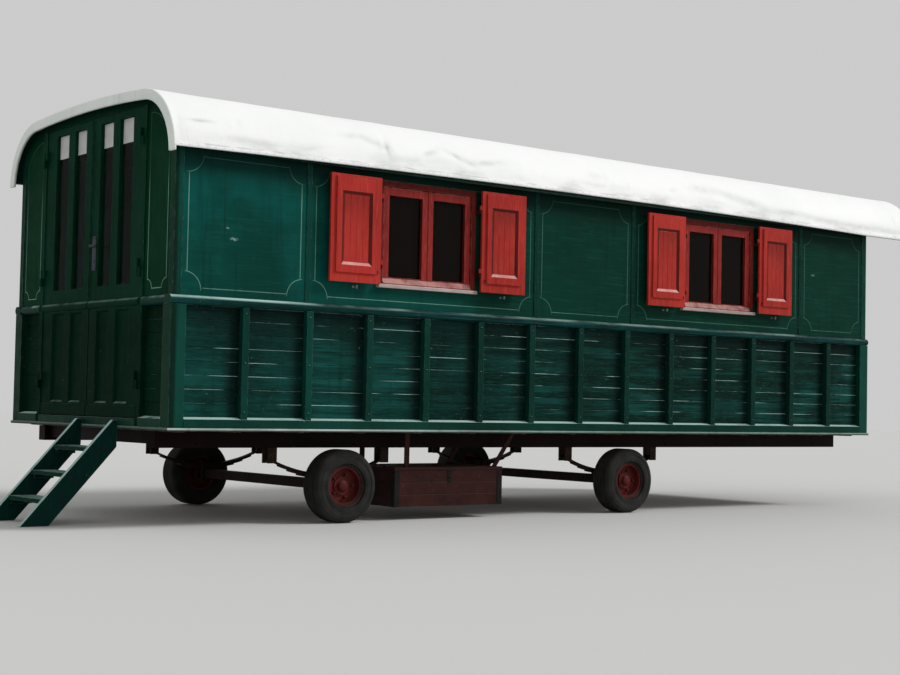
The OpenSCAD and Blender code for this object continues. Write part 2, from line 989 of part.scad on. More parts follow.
// Dished rim with a hub and five bosses; the outer face looks along -Y
module rim() {
  drum_w = 140;
  drum_t = 16;
  disc_y = 10;
  disc_t = 10;
  disc_r = 60;
  hub_wall = 26;
  hub_l = 95;
  hub_back = 60;
  collar_w = 20;
  collar_h = 22;
  boss_r = 10;
  boss_h = 14;
  boss_at = 84;
  rotate([90, 0, 0]) {
    rotate_extrude($fn = 96) {
      translate([rim_r - drum_t, -drum_w / 2])
        square([drum_t, drum_w]);
      translate([disc_r, disc_y])
        square([rim_r - drum_t + 1 - disc_r, disc_t]);
      translate([hub_r + hub_play, -hub_back])
        square([hub_wall - hub_play, hub_l]);
      translate([hub_r + hub_wall - 1, disc_y])
        square([collar_w, collar_h]);
    }
    for (a = [0:72:359])
      rotate([0, 0, a])
        translate([boss_at, 0, disc_y + disc_t - 1])
          cylinder(r = boss_r, h = boss_h, $fn = 24);
  }
}

// Puts a wheel's pieces at an axle, on the near side when s is -1
module at_wheel(x, s) {
  translate([x, s * (tyre_y - tyre_w / 2), tyre_r])
    mirror([0, s > 0 ? 1 : 0, 0])
      children();
}

module front_near_tyre() {
  color("#1b1b1b")
    at_wheel(axle_a, -1)
      tyre();
}

module front_near_rim() {
  color("#5a2020")
    at_wheel(axle_a, -1)
      rim();
}

module front_far_tyre() {
  color("#1b1b1b")
    at_wheel(axle_a, 1)
      tyre();
}

module front_far_rim() {
  color("#5a2020")
    at_wheel(axle_a, 1)
      rim();
}

module rear_near_tyre() {
  color("#1b1b1b")
    at_wheel(axle_b, -1)
      tyre();
}

module rear_near_rim() {
  color("#5a2020")
    at_wheel(axle_b, -1)
      rim();
}

module rear_far_tyre() {
  color("#1b1b1b")
    at_wheel(axle_b, 1)
      tyre();
}

module rear_far_rim() {
  color("#5a2020")
    at_wheel(axle_b, 1)
      rim();
}

placed() chassis_rails();
placed() cross_members();
placed() axles();
placed() spring_sets();
placed() floor_bearers();
placed() floor_deck();
placed() corner_posts();
placed() bottom_rails();
placed() drip_edge();
placed() near_lower_wall();
placed() far_lower_wall();
placed() end_lower_walls();
placed() wall_ribs();
placed() waist_rails();
placed() near_upper_wall();
placed() far_upper_wall();
placed() end_upper_walls();
placed() door_jambs();
placed() near_door_leaf();
placed() near_door_glass();
placed() door_lock();
placed() far_door_leaf();
placed() far_door_glass();
placed() window_frames();
placed() window_glass();
placed() window_sills();
placed() shutter_brackets();
placed() near_shutter_1();
placed() near_shutter_2();
placed() near_shutter_3();
placed() near_shutter_4();
placed() far_shutters();
placed() roof_deck();
placed() roof_cover();
placed() step_stringers();
placed() step_treads();
placed() underfloor_box();
placed() front_near_tyre();
placed() front_near_rim();
placed() front_far_tyre();
placed() front_far_rim();
placed() rear_near_tyre();
placed() rear_near_rim();
placed() rear_far_tyre();
placed() rear_far_rim();
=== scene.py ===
import json
import random
from itertools import product
from math import asin, atan2, cos, exp, pi, radians, sin
from types import SimpleNamespace
import bpy
import bmesh
from mathutils import Matrix, Vector, noise


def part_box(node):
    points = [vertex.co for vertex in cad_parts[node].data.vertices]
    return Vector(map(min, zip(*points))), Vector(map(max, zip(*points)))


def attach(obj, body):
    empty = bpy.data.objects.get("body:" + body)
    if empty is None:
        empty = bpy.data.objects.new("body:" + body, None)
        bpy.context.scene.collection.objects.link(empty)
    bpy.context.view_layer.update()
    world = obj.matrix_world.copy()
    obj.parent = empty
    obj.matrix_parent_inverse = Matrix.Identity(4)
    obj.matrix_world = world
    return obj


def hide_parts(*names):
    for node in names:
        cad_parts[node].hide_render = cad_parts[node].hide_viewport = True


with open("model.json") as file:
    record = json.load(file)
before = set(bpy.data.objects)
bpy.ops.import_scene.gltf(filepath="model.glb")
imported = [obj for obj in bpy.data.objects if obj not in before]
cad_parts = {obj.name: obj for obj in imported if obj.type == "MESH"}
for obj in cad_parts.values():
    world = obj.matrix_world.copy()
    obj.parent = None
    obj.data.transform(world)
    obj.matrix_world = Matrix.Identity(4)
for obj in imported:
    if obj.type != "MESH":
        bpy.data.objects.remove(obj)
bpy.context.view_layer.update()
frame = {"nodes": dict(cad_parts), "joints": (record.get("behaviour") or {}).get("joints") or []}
mm = 0.001
eased = {"interpolation_type": "SMOOTHSTEP"}


def inMetres(sizes):
    # a piece's sizes: the names that end in Mm lose the ending, and their values become metres
    metres = {k.removesuffix("Mm"): v * mm if k.endswith("Mm") else v for k, v in sizes.items()}
    return SimpleNamespace(**metres)


# colours, nodes and the marks that several finishes share

def srgb(text):
    parts = [int(text[i:i + 2], 16) / 255 for i in (1, 3, 5)]
    return tuple(p / 12.92 if p < 0.04045 else ((p + 0.055) / 1.055) ** 2.4 for p in parts) + (1.0,)


def addNode(near, kind, links=None, **settings):
    # near is a tree or a socket in it; links takes plain values, sockets, or nodes, which give their first
    # output in use
    tree = near.id_data
    made = tree.nodes.new("ShaderNode" + kind)
    for key, value in settings.items():
        setattr(made, key, value)
    for key, value in (links or {}).items():
        socket = next(s for i, s in enumerate(made.inputs) if s.enabled and key in (i, s.name))
        if isinstance(value, bpy.types.Node):
            value = next(s for s in value.outputs if s.enabled)
        if isinstance(value, bpy.types.NodeSocket):
            tree.links.new(value, socket)
        else:
            socket.default_value = value
    return made


def newMaterial(name, look):
    made = bpy.data.materials.new(name)
    made.use_nodes = True
    made.node_tree.nodes.clear()
    return made, addNode(made.node_tree, "TexCoord").outputs["Object"], SimpleNamespace(**look)


alongGrain = {"x": (0.05, 1, 1), "y": (1, 0.05, 1), "z": (1, 1, 0.05)}


def cloud(place, sizeMm, stretch, detail=6):
    # uneven spots of one size, or long fibres and brush strokes where an axis's stretch is far under 1
    spot = addNode(place, "Mapping", {"Vector": place, "Scale": stretch})
    links = {"Vector": spot, "Scale": 1000 / sizeMm, "Detail": detail, "Roughness": 0.6}
    return addNode(place, "TexNoise", links)


def patches(place, sizeMm, low=0.35, high=0.65, stretch=(1, 1, 1), detail=4):
    # the same spots as patches with a soft edge
    spots = cloud(place, sizeMm, stretch, detail)
    return addNode(place, "MapRange", {"Value": spots, "From Min": low, "From Max": high}, **eased)


def rubbedEdges(place, radiusMm):
    # a softly rounded normal, and how far an arris is rubbed, broken into stretches of about 60 mm
    rounded = addNode(place, "Bevel", {"Radius": radiusMm * mm}, samples=4)
    flat = addNode(place, "NewGeometry").outputs["Normal"]
    bend = addNode(place, "VectorMath", {0: rounded, 1: flat}, operation="DOT_PRODUCT")
    arris = addNode(place, "MapRange", {"Value": bend, "From Min": 0.985, "From Max": 0.8}, **eased)
    broken = patches(place, 60, 0.42, 0.6, detail=6)
    return rounded, addNode(place, "Math", {0: arris, 1: broken}, operation="MULTIPLY")


def fadeAlong(place, axis, start, end):
    # 0 at the start and 1 at the end, along one axis
    along = addNode(place, "SeparateXYZ", {"Vector": place}).outputs[axis]
    return addNode(place, "MapRange", {"Value": along, "From Min": start, "From Max": end}, **eased)


def facing(place, axis, low, high):
    # 1 on what faces along an axis: up, where rain and dust settle and a painted sky glint lies, or toward
    #                                the entrance
    return fadeAlong(addNode(place, "NewGeometry").outputs["Normal"], axis, low, high)


def acrossBays(place, axis, first, pitch):
    # how far across its bay or board each point lies, from 0 to 1
    along = addNode(place, "SeparateXYZ", {"Vector": place}).outputs[axis]
    shifted = addNode(place, "Math", {0: along, 1: first}, operation="SUBTRACT")
    bays = addNode(place, "Math", {0: shifted, 1: pitch}, operation="DIVIDE")
    return addNode(place, "Math", {0: bays}, operation="FRACT")


def plainWeave(place, threadMm, directions):
    # warp and weft; the texture draws about 20 waves at a scale of 1
    links = {"Vector": place, "Scale": 1000 / threadMm / 20}
    warp, weft = [addNode(place, "TexWave", links, bands_direction=d) for d in directions]
    return addNode(place, "Math", {0: warp, 1: weft}, operation="ADD")


def scraped(place, spots):
    # ragged scrapes, each as its middle in metres and its half width in mm
    total = 0.0
    for middle, halfMm in spots:
        off = addNode(place, "VectorMath", {0: place, 1: middle}, operation="SUBTRACT")
        flat = addNode(place, "VectorMath", {0: off, 1: (1, 1, 2.5)}, operation="MULTIPLY")
        far = addNode(place, "VectorMath", {0: flat}, operation="LENGTH").outputs["Value"]
        links = {"Value": far, "From Min": halfMm * mm, "From Max": 0.3 * halfMm * mm}
        near = addNode(place, "MapRange", links, **eased)
        total = addNode(place, "Math", {0: total, 1: near}, operation="ADD")
    ragged = patches(place, 20, 0.4, 0.6, detail=6)
    return addNode(place, "Math", {0: total, 1: ragged}, operation="MULTIPLY")


def paintCoats(place, under, coats):
    # lays coats over one another, each as its masks and strengths, then its colour
    under = srgb(under)
    for *masks, colour in coats:
        cover = masks[0]
        for mask in masks[1:]:
            cover = addNode(place, "Math", {0: cover, 1: mask}, operation="MULTIPLY")
        under = addNode(place, "Mix", {"Factor": cover, "A": under, "B": srgb(colour)}, data_type="RGBA")
    return under


def relief(place, heights, normal=None):
    # bumps over one another, each as its height and how deep it is in mm
    for height, depthMm in heights:
        links = {"Height": height, "Distance": depthMm * mm}
        if normal is not None:
            links["Normal"] = normal
        normal = addNode(place, "Bump", links)
    return normal


def closeMaterial(made, tone, rough, shine, more):
    links = {"Base Color": tone, "Roughness": rough, "Specular IOR Level": shine, **more}
    shader = addNode(made.node_tree, "BsdfPrincipled", links)
    addNode(made.node_tree, "OutputMaterial", {"Surface": shader})
    return made


# Brushed oil enamel over sawn timber: fibres show through the gloss, rain has left darker runs,
# arrises are rubbed pale and whatever faces up is chalky with dust and carries a painted sky glint.
def enamelOnTimber(name, look):
    made, place, look = newMaterial(name, look)
    grain = alongGrain[look.grain]
    fibre = cloud(place, look.grainMm, grain)
    stroke = cloud(place, look.brushMm, grain, 3)
    bow = addNode(place, "TexNoise", {"Vector": place, "Scale": 1000 / look.bowMm, "Detail": 2})
    blotch = patches(place, 90, 0.3, 0.7)
    rounded, rubbed = rubbedEdges(place, look.edgeMm)
    faded = fadeAlong(place, "X", *look.fadeX)
    # the dust and the painted sky glint on what faces up are weaker away from the entrance
    farDustAndGlint = look.dust * look.dustFar
    dust = addNode(place, "MapRange", {"Value": faded, "To Min": farDustAndGlint, "To Max": look.dust})
    tone = paintCoats(place, look.base, [
        # painted sky reflection near the entrance; on the corner posts, painted shade on their entrance side
        (faded, 1.0, look.faded or look.base),
        (patches(place, look.stripMm, 0.45, 0.62, grain), look.strips, look.pale),
        (facing(place, "X", -0.4, -0.8), look.endShare, look.endTone),
        (patches(place, 650), 0.7, look.dark),
        (patches(place, look.grainMm, 0.48, 0.75, grain, 6), look.grainTone, look.pale),
        (patches(place, 40, 0.52, 0.78, (1, 1, 0.06), 5), look.runs, look.grime),
        # painted shade by height, under overhangs and rails
        (fadeAlong(place, "Z", *look.dampZ), look.damp, look.grime),
        # painted shade in the corner before each rib
        (besideRibs(place, *look.ribs), look.corners, look.grime),
        (patches(place, 16, 0.66, 0.72, detail=6), patches(place, 320, 0.5, 0.62), look.chips,
         look.worn),
        (rubbed, look.wear, look.worn),
        (scraped(place, look.scrapes), 0.8, look.worn),
        # dust and a painted sky glint, pale on whatever faces up
        (facing(place, "Z", 0.25, 0.7), patches(place, look.dustMm, *look.dustFrom, look.dustLong, 6),
         dust, look.chalk)])
    links = {"Value": blotch, "To Min": look.rough - 0.06, "To Max": look.rough + 0.12}
    rough = addNode(place, "MapRange", links)
    normal = relief(place, [(fibre, look.reliefMm), (stroke, 0.25), (bow, look.waveMm)], rounded)
    return closeMaterial(made, tone, rough, look.shine, {"Normal": normal})


def besideRibs(place, firstRib, pitch):
    # 1 in the corner before each rib, where painted shade goes, 0 over most of a bay
    share = acrossBays(place, "X", firstRib, pitch)
    return addNode(place, "MapRange", {"Value": share, "From Min": 0.68, "From Max": 0.96}, **eased)


def solidBoxes(nodeName):
    # the box of each separate solid in a node, sorted along x, then y, then z
    bm = bmesh.new()
    bm.from_mesh(frame["nodes"][nodeName].data)
    bmesh.ops.remove_doubles(bm, verts=bm.verts, dist=0.01 * mm)
    left = set(bm.verts)
    boxes = []
    while left:
        solid = [left.pop()]
        for vert in solid:
            joined = {edge.other_vert(vert) for edge in vert.link_edges} & left
            left -= joined
            solid += joined
        corners = [[pick(v.co[i] for v in solid) for i in range(3)] for pick in (min, max)]
        boxes.append([Vector([round(c, 5) for c in corner]) for corner in corners])
    bm.free()
    return sorted(boxes, key=lambda b: [round(c, 3) for c in b[0]])


# the wagon's own places that its finishes and its boards follow, in metres
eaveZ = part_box("roof_cover")[0].z
waistLow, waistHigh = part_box("waist_rails")
waistFoot, waistTop = waistLow.z, waistHigh.z
bodyStart, bodyEnd = waistLow.x, waistHigh.x
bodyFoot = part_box("drip_edge")[0].z
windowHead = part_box("window_frames")[1].z
panelLow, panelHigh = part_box("near_upper_wall")
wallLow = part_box("near_lower_wall")[0]
boardFoot, sideFace = wallLow.z, abs(wallLow.y)
ribBoxes = solidBoxes("wall_ribs")
lowRibs = [b for b in ribBoxes if b[1].z < waistFoot + 0.005]
sideRibs = sorted(b[0].x for b in lowRibs if b[0].y < -sideFace + 0.05 and b[1].x < bodyEnd - 0.05)

# the enamels' looks: the span along x runs from the base to a painted sky reflection near the entrance
# (painted shade on the posts), the span along z from clean to painted shade, and the names that end in Mm are
# the marks' sizes and depths
green = dict(
    base="#0b2f26", faded=None, fadeX=(0.4, bodyStart), dark="#08261f", pale="#175045", grime="#071713",
    worn="#86a99e", chalk="#a9c8c0", endTone="#0a3322", endShare=0.0, grain="x", grainMm=5, grainTone=0.35,
    brushMm=1.6, bowMm=600, waveMm=2.0, reliefMm=0.5, edgeMm=2.5, rough=0.4, shine=0.035, runs=0.35,
    chips=0.5, wear=0.5, scrapes=[], stripMm=45, strips=0.0, dampZ=(0.0, 1.0), damp=0.0, ribs=(0.0, 1.0),
    corners=0.0, dust=0.6, dustFar=1.0, dustMm=120, dustFrom=(0.25, 0.6), dustLong=(1, 1, 1))
endGreen = dict(
    green, base="#0b3623", dark="#082919", pale="#14503a", grime="#03140c", grain="z", shine=0.008)
# painted sky reflection near the entrance and painted shade under the eaves
panelEnamel = enamelOnTimber("greenEnamelOnPly", dict(
    green, base="#0a3428", faded="#0b524c", dark="#082d24", pale="#155c4c", grainMm=14, grainTone=0.3,
    reliefMm=0.2, waveMm=9.0, rough=0.34, shine=0.03, chips=0.3, dampZ=(eaveZ - 0.26, eaveZ), damp=0.75,
    scrapes=[((bodyStart + 0.47, panelLow.y, waistTop + 0.39), 42),
             ((bodyStart + 0.42, panelLow.y, waistTop + 0.46), 20),
             ((bodyStart + 6.425, panelLow.y, waistTop + 0.545), 34)]))
# painted sky reflection near the entrance, painted shade under the waist rail and in the corner before each
# rib
boardEnamel = enamelOnTimber("greenEnamelOnDeal", dict(
    green, base="#07241c", faded="#0c3a35", dark="#051913", pale="#195650", grime="#061412", strips=0.6,
    grainTone=0.6, reliefMm=1.3, edgeMm=1.5, wear=0.6, chips=0.8, rough=0.42, dust=1.0, dustMm=260,
    dustFrom=(0.46, 0.6), dustLong=(0.45, 1, 1.6), dampZ=(waistFoot - 0.3, waistFoot - 0.02), damp=0.6,
    ribs=(sideRibs[0], sideRibs[1] - sideRibs[0]), corners=0.75))
# painted shade toward the top of the end panels, under the roof
endEnamel = enamelOnTimber("greenEnamelOnEndPly", dict(
    endGreen, grainMm=14, grainTone=0.3, reliefMm=0.2, waveMm=6.0, runs=0.5,
    dampZ=(eaveZ + 0.1, eaveZ + 0.5), damp=0.6))
# painted shade under the end's waist rail
endBoardEnamel = enamelOnTimber("greenEnamelOnEndDeal", dict(
    endGreen, base="#07271a", dark="#051c12", pale="#12422e", grain="y", grainTone=0.4, reliefMm=1.0,
    edgeMm=1.5, dust=0.12, dustFrom=(0.45, 0.65), wear=0.05, dampZ=(waistFoot - 0.25, waistFoot), damp=0.5))
# painted sky reflection near the entrance
uprightEnamel = enamelOnTimber("greenEnamelOnUprights", dict(
    green, base="#0b3128", faded="#10463d", grain="z", edgeMm=3, wear=0.55))
# painted shade on the entrance side of each post, over its first few centimetres along x
postEnamel = enamelOnTimber("greenEnamelOnPosts", dict(
    green, base="#10443a", faded="#0b241c", fadeX=(bodyStart + 0.058, bodyStart + 0.036), grain="z",
    edgeMm=3, wear=0.85, endShare=0.9, runs=0.5))
# the ledge's sloped top is pale with dust and a painted sky glint; painted sky reflection near the entrance
railEnamel = enamelOnTimber("greenEnamelOnBottomRail", dict(
    green, base="#0d362d", faded="#124238", edgeMm=3, wear=0.7, dust=1.0, dustMm=200, dustFrom=(0.2, 0.5),
    dustLong=(0.5, 1, 1), endShare=0.8))
# the rail's pale top is dust and a painted sky glint, with a painted sky reflection near the entrance
waistEnamel = enamelOnTimber("greenEnamelOnWaistRail", dict(
    green, base="#0b2f2d", faded="#103c38", pale="#226064", edgeMm=3, dust=0.95, dustMm=420,
    dustFrom=(0.4, 0.58), dustLong=(0.4, 1, 1), dustFar=0.5, fadeX=(bodyStart + 1.3, bodyStart + 0.7),
    strips=0.5, stripMm=25, endShare=0.9))
# painted shade below the waist rail
doorEnamel = enamelOnTimber("greenEnamelOnDoors", dict(
    endGreen, base="#0b3324", dust=0.25, wear=0.35, dampZ=(waistFoot + 0.06, waistFoot - 0.1), damp=0.5))
stepEnamel = enamelOnTimber("greenEnamelOnSteps", dict(
    endGreen, base="#0c2f2a", dark="#09231f", pale="#225249", wear=0.9, edgeMm=5, rough=0.5, chips=1.0,
    shine=0.02, dust=0.9, dustFrom=(0.15, 0.45)))
treadEnamel = enamelOnTimber("greenEnamelOnTreads", dict(
    endGreen, base="#113a2f", dark="#0c2a22", pale="#30594b", grain="y", wear=1.0, edgeMm=4, rough=0.55,
    dust=0.5, chips=1.0, shine=0.02))
deckEnamel = enamelOnTimber("greenEnamelOnRoofBoards", dict(
    green, base="#0c211b", dark="#081712", grainTone=0.4, reliefMm=1.5, rough=0.5, wear=0.2))

red = dict(
    green, base="#b02d25", dark="#921e18", pale="#c64e3f", grime="#511712", worn="#cf8e82", chalk="#dcaaa0",
    grain="z", grainMm=7, brushMm=2, grainTone=0.6, runs=0.4, waveMm=1.0, shine=0.12, chips=0.25, wear=0.6,
    dust=0.85)
shutterEnamel = enamelOnTimber("redEnamelOnShutters", red)
sashEnamel = enamelOnTimber("redEnamelOnSashes", dict(
    red, base="#8e2a27", dark="#6f1d1b", grainMm=5, dust=0.95, shine=0.08, wear=0.95, edgeMm=3))
# painted shade under the window heads
frameEnamel = enamelOnTimber("redEnamelOnFrames", dict(
    red, base="#74231f", dark="#561714", pale="#96403a", grime="#2e0f0d", wear=1.0, edgeMm=3, dust=0.95,
    shine=0.06, dampZ=(windowHead - 0.09, windowHead - 0.02), damp=0.4))
# a painted highlight for the moulding's foot, which faces up to the sky
litShutterFoot = enamelOnTimber("redInMouldingsWithPaintedHighlight", dict(
    red, base="#c4726a", dark="#a04c46", pale="#d99a92", chalk="#e6c0ba"))
# painted shade for the moulding's head and sides
shadedShutterMoulding = enamelOnTimber("grimedRedInMouldings", dict(
    red, base="#5c1612", dark="#3f100d", pale="#7c241d", wear=0.2))
sillPaint = enamelOnTimber("bleachedSillPaint", dict(
    red, base="#b09d9a", dark="#8a736d", pale="#d8cdca", grime="#5e4844", worn="#d8cfcc", chalk="#dad2cf",
    grain="x", rough=0.5, shine=0.06))
# painted sky reflection near the entrance and painted shade under the eaves, where the lines fade out
linePaint = enamelOnTimber("agedSignwritersEauDeNil", dict(
    green, base="#3a6656", faded="#74a392", dark="#3f6657", pale="#93bcab", grime="#1d4237", worn="#123a31",
    runs=0.85, grainTone=0.3, rough=0.45, edgeMm=0.3, wear=0.2, chips=1.0,
    dampZ=(eaveZ - 0.26, eaveZ - 0.03), damp=0.9))
# painted sky reflection near the entrance and painted shade along the drip's foot
dripPaint = enamelOnTimber("paleEnamelOnZinc", dict(
    green, base="#7d9a90", faded="#d0dad4", dark="#64766d", pale="#aab9b1", grime="#222b26", worn="#cdd6d0",
    chalk="#dfe6e2", rough=0.45, runs=0.5, wear=0.7, endShare=0.9, endTone="#1d4034",
    dampZ=(bodyFoot + 0.013, bodyFoot + 0.004), damp=0.95))
bowPaint = enamelOnTimber("whiteEnamelOnAshBow", dict(
    green, base="#e8ede9", dark="#d6dfd9", pale="#f4f6f4", grime="#9ca8a1", worn="#a9b1aa", chalk="#f4f6f4",
    grain="y", grainTone=0.4, runs=0.3, edgeMm=5, rough=0.5, shine=0.2, waveMm=1.0))


# Bare sawn softwood: long brown fibres, grey where it has weathered, a dark gap at each board's edge.
def bareTimber(name, look):
    made, place, look = newMaterial(name, look)
    grain = alongGrain[look.grain]
    fibre = cloud(place, look.grainMm, grain, 7)
    across = acrossBays(place, "Y" if look.grain == "x" else "X", 0.0, look.boardMm * mm)
    fromMiddle = addNode(place, "Math", {0: across, 1: 0.5}, operation="SUBTRACT")
    offMiddle = addNode(place, "Math", {0: fromMiddle}, operation="ABSOLUTE")
    gap = addNode(place, "MapRange", {"Value": offMiddle, "From Min": 0.46, "From Max": 0.49})
    tone = paintCoats(place, look.base, [
        (patches(place, look.grainMm, 0.4, 0.7, grain, 7), 0.9, look.dark),
        (patches(place, 450, 0.45, 0.7), 0.6, look.grey),
        (gap, 0.9, "#14100c")])
    return closeMaterial(made, tone, 0.8, 0.3, {"Normal": relief(place, [(fibre, 1.0), (gap, -2.0)])})


deckTimber = bareTimber("sawnPineDeck", {
    "grain": "x", "grainMm": 6, "base": "#8a6c4a", "dark": "#5f4831", "grey": "#7b746a", "boardMm": 95})
bearerTimber = bareTimber("sawnOakBearers", {
    "grain": "y", "grainMm": 6, "base": "#4d3a2a", "dark": "#30231a", "grey": "#4e4841", "boardMm": 300})


# White rubbered canvas, stretched and painted: matt, a fine weave under the paint, grey where rain
# runs off, in the creases and low along the hem with dirt and painted shade, and along the stitched top of
# the hem.
def paintedCanvas(name, look):
    made, place, look = newMaterial(name, look)
    weave = plainWeave(place, look.weaveMm, "XY")
    pucker = addNode(place, "TexNoise", {"Vector": place, "Scale": 1000 / look.puckerMm, "Detail": 5})
    fromHem = addNode(place, "Attribute", attribute_name="fromHem").outputs["Fac"]
    creased = addNode(place, "Attribute", attribute_name="creased").outputs["Fac"]
    offStitch = addNode(place, "Math", {0: fromHem, 1: look.stitchMm * mm}, operation="SUBTRACT")
    nearStitch = addNode(place, "Math", {0: offStitch}, operation="ABSOLUTE")
    links = {"Value": nearStitch, "From Min": 11 * mm, "From Max": 2 * mm}
    stitch = addNode(place, "MapRange", links, **eased)
    low = addNode(place, "MapRange", {"Value": fromHem, "From Min": 0.16, "From Max": 0.03}, **eased)
    tone = paintCoats(place, look.base, [
        (patches(place, 700, 0.4, 0.75, detail=5), 0.4, look.grey),
        (patches(place, 70, 0.6, 0.85, (1, 0.3, 0.3), 5), look.runs, look.dirt),
        # dirt and painted shade low along the hem
        (low, patches(place, 110, 0.42, 0.75, (0.3, 1, 1), 6), 0.55, look.dirt),
        # dirt and painted shade in the creases and dents
        (creased, patches(place, 80, 0.1, 0.7, detail=6), 0.85, look.dirt),
        (stitch, patches(place, 45, 0.4, 0.65, (0.3, 1, 1), 6), 0.45, look.stitch)])
    normal = relief(place, [(weave, 0.12), (pucker, look.puckerDeepMm)])
    return closeMaterial(made, tone, 0.62, 0.3, {"Normal": normal})


roofCanvas = paintedCanvas("whitePaintedCanvas", {
    "base": "#f3f4f3", "grey": "#e6e8e6", "dirt": "#b0b3b0", "stitch": "#8b8e8b", "runs": 0.2, "weaveMm": 5,
    "puckerMm": 260, "puckerDeepMm": 5, "stitchMm": 27})


# Iron and steel under old paint: rust freckles through it, thickest along the edges.
def paintedIron(name, look):
    made, place, look = newMaterial(name, look)
    rounded, rubbed = rubbedEdges(place, 2.5)
    freckle = addNode(place, "TexNoise", {"Vector": place, "Scale": 1000 / 16, "Detail": 6, "Roughness": 0.7})
    rust = patches(place, 16, look.rustFrom, look.rustFrom + 0.12, detail=6)
    tone = paintCoats(place, look.base, [
        (patches(place, 200, 0.3, 0.7), 1.0, look.dark),
        (rubbed, 0.7, look.rust),
        (rust, 1.0, look.rust),
        (facing(place, "Z", 0.3, 0.95), 0.45, look.mud)])
    rough = addNode(place, "MapRange", {"Value": rust, "To Min": look.rough, "To Max": 0.9})
    return closeMaterial(made, tone, rough, look.shine, {
        "Normal": relief(place, [(freckle, 0.6)], rounded), "Metallic": look.metallic})


iron = dict(
    base="#1c1c1b", dark="#121212", rust="#4a2c1c", mud="#4a453c", rustFrom=0.6, rough=0.5, metallic=0.0,
    shine=0.1)
chassisPaint = paintedIron("maroonChassisPaint", dict(
    iron, base="#190d0b", dark="#100807", rust="#2c1810", shine=0.05))
boxPaint = paintedIron("maroonBoxPaint", dict(iron, base="#3a1b18", dark="#271210", rust="#5e3a26"))
rimPaint = paintedIron("maroonRimPaint", dict(iron, base="#5e2220", dark="#421716", rust="#5c3623"))
rustedSteel = paintedIron("rustedSpringSteel", dict(
    iron, base="#2a2420", dark="#1b1715", rust="#4c3020", rustFrom=0.5, rough=0.6, metallic=0.4))
blackIron = paintedIron("blackHingeIron", dict(iron, rustFrom=0.66))
lockSteel = paintedIron("blueGreyLockSteel", dict(
    iron, base="#2a3742", dark="#1f2a33", rust="#54402f", rustFrom=0.68, rough=0.4, metallic=0.4))
bracketIron = paintedIron("redPaintedBracketIron", dict(
    iron, base="#4a1713", dark="#2c0f0d", rust="#3c2418"))
paleIron = paintedIron("galvanisedCatchIron", dict(
    iron, base="#8f948e", dark="#6d716b", rust="#7a5a42", mud="#c8ccc6", rough=0.4, metallic=0.3))


# Old tyre rubber: black gone grey, road dust in the grooves.
def tyreRubber(name, look):
    made, place, look = newMaterial(name, look)
    pores = addNode(place, "TexNoise", {"Vector": place, "Scale": 1000 / look.poreMm, "Detail": 3})
    tone = paintCoats(place, look.base, [
        (patches(place, 110, 0.35, 0.75, detail=5), 1.0, look.bloom),
        (facing(place, "Z", 0.3, 0.95), 0.4, look.dust)])
    return closeMaterial(made, tone, 0.82, 0.25, {"Normal": relief(place, [(pores, 0.5)])})


tyreBlack = tyreRubber("greyedTyreRubber", {
    "base": "#191918", "bloom": "#2d2c2a", "dust": "#4a4740", "poreMm": 4})


# Old drawn window glass with a faint ripple in what it reflects; its almost black, partly opaque tone is
# painted shade for the dark room behind it.
def drawnGlass(name, look):
    made, place, look = newMaterial(name, look)
    ripple = addNode(place, "TexNoise", {"Vector": place, "Scale": 1000 / look.rippleMm, "Detail": 2})
    film = patches(place, 35, 0.5, 0.85, detail=5)
    rough = addNode(place, "MapRange", {"Value": film, "To Min": 0.03, "To Max": 0.2})
    tone = paintCoats(place, look.base, [(film, 0.5, look.film)])
    return closeMaterial(made, tone, rough, look.shine, {
        "Normal": relief(place, [(ripple, 1.5)]), "Alpha": look.cover})


# the window panes are mostly opaque and almost black: painted shade for the room behind them
windowGlass = drawnGlass("oldWindowGlass", {
    "base": "#110c09", "film": "#1c1712", "rippleMm": 200, "cover": 0.78, "shine": 0.07})
doorGlass = drawnGlass("oldDoorGlass", {
    "base": "#0b0c0a", "film": "#1d1f1b", "rippleMm": 200, "cover": 0.12, "shine": 0.2})


# Bleached cotton blind: a plain weave of about 1 mm, drawn at 3 mm so that it shows.
def blindCloth(name, look):
    made, place, look = newMaterial(name, look)
    weave = plainWeave(place, look.weaveMm, "YZ")
    tone = paintCoats(place, look.base, [(patches(place, 80), 0.8, look.grey)])
    return closeMaterial(made, tone, 0.9, 0.5, {"Normal": relief(place, [(weave, 0.3)]), "Sheen Weight": 0.2})


blindCotton = blindCloth("bleachedBlindCotton", {"base": "#f6f6f2", "grey": "#e6e6df", "weaveMm": 3})
print("materials are ready")


# making pieces

def newObject(name, data):
    made = bpy.data.objects.new(name, data)
    bpy.context.scene.collection.objects.link(made)
    return made


def meshPiece(name, bm, material, body="wagon", smooth=False):
    mesh = bpy.data.meshes.new(name)
    bmesh.ops.recalc_face_normals(bm, faces=bm.faces)
    bm.to_mesh(mesh)
    bm.free()
    made = newObject(name, mesh)
    mesh.materials.append(material)
    if smooth:
        mesh.polygons.foreach_set("use_smooth", [True] * len(mesh.polygons))
    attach(made, body)
    return made


def slab(bm, one, other, edge=mm, moved=Vector):
    # a board between two opposite corners, with chamfered arrises that catch the light
    low, high = [Vector([pick(pair) for pair in zip(one, other)]) for pick in (min, max)]
    made = bmesh.ops.create_cube(bm, size=1)["verts"]
    for vert in made:
        vert.co = [(low, high)[vert.co[i] > 0][i] for i in range(3)]
    edges = {line for vert in made for line in vert.link_edges}
    offset = min(edge, 0.45 * min(high - low))
    for vert in bmesh.ops.bevel(bm, geom=[*edges], offset=offset, segments=1, affect="EDGES")["verts"]:
        vert.co = moved(vert.co)


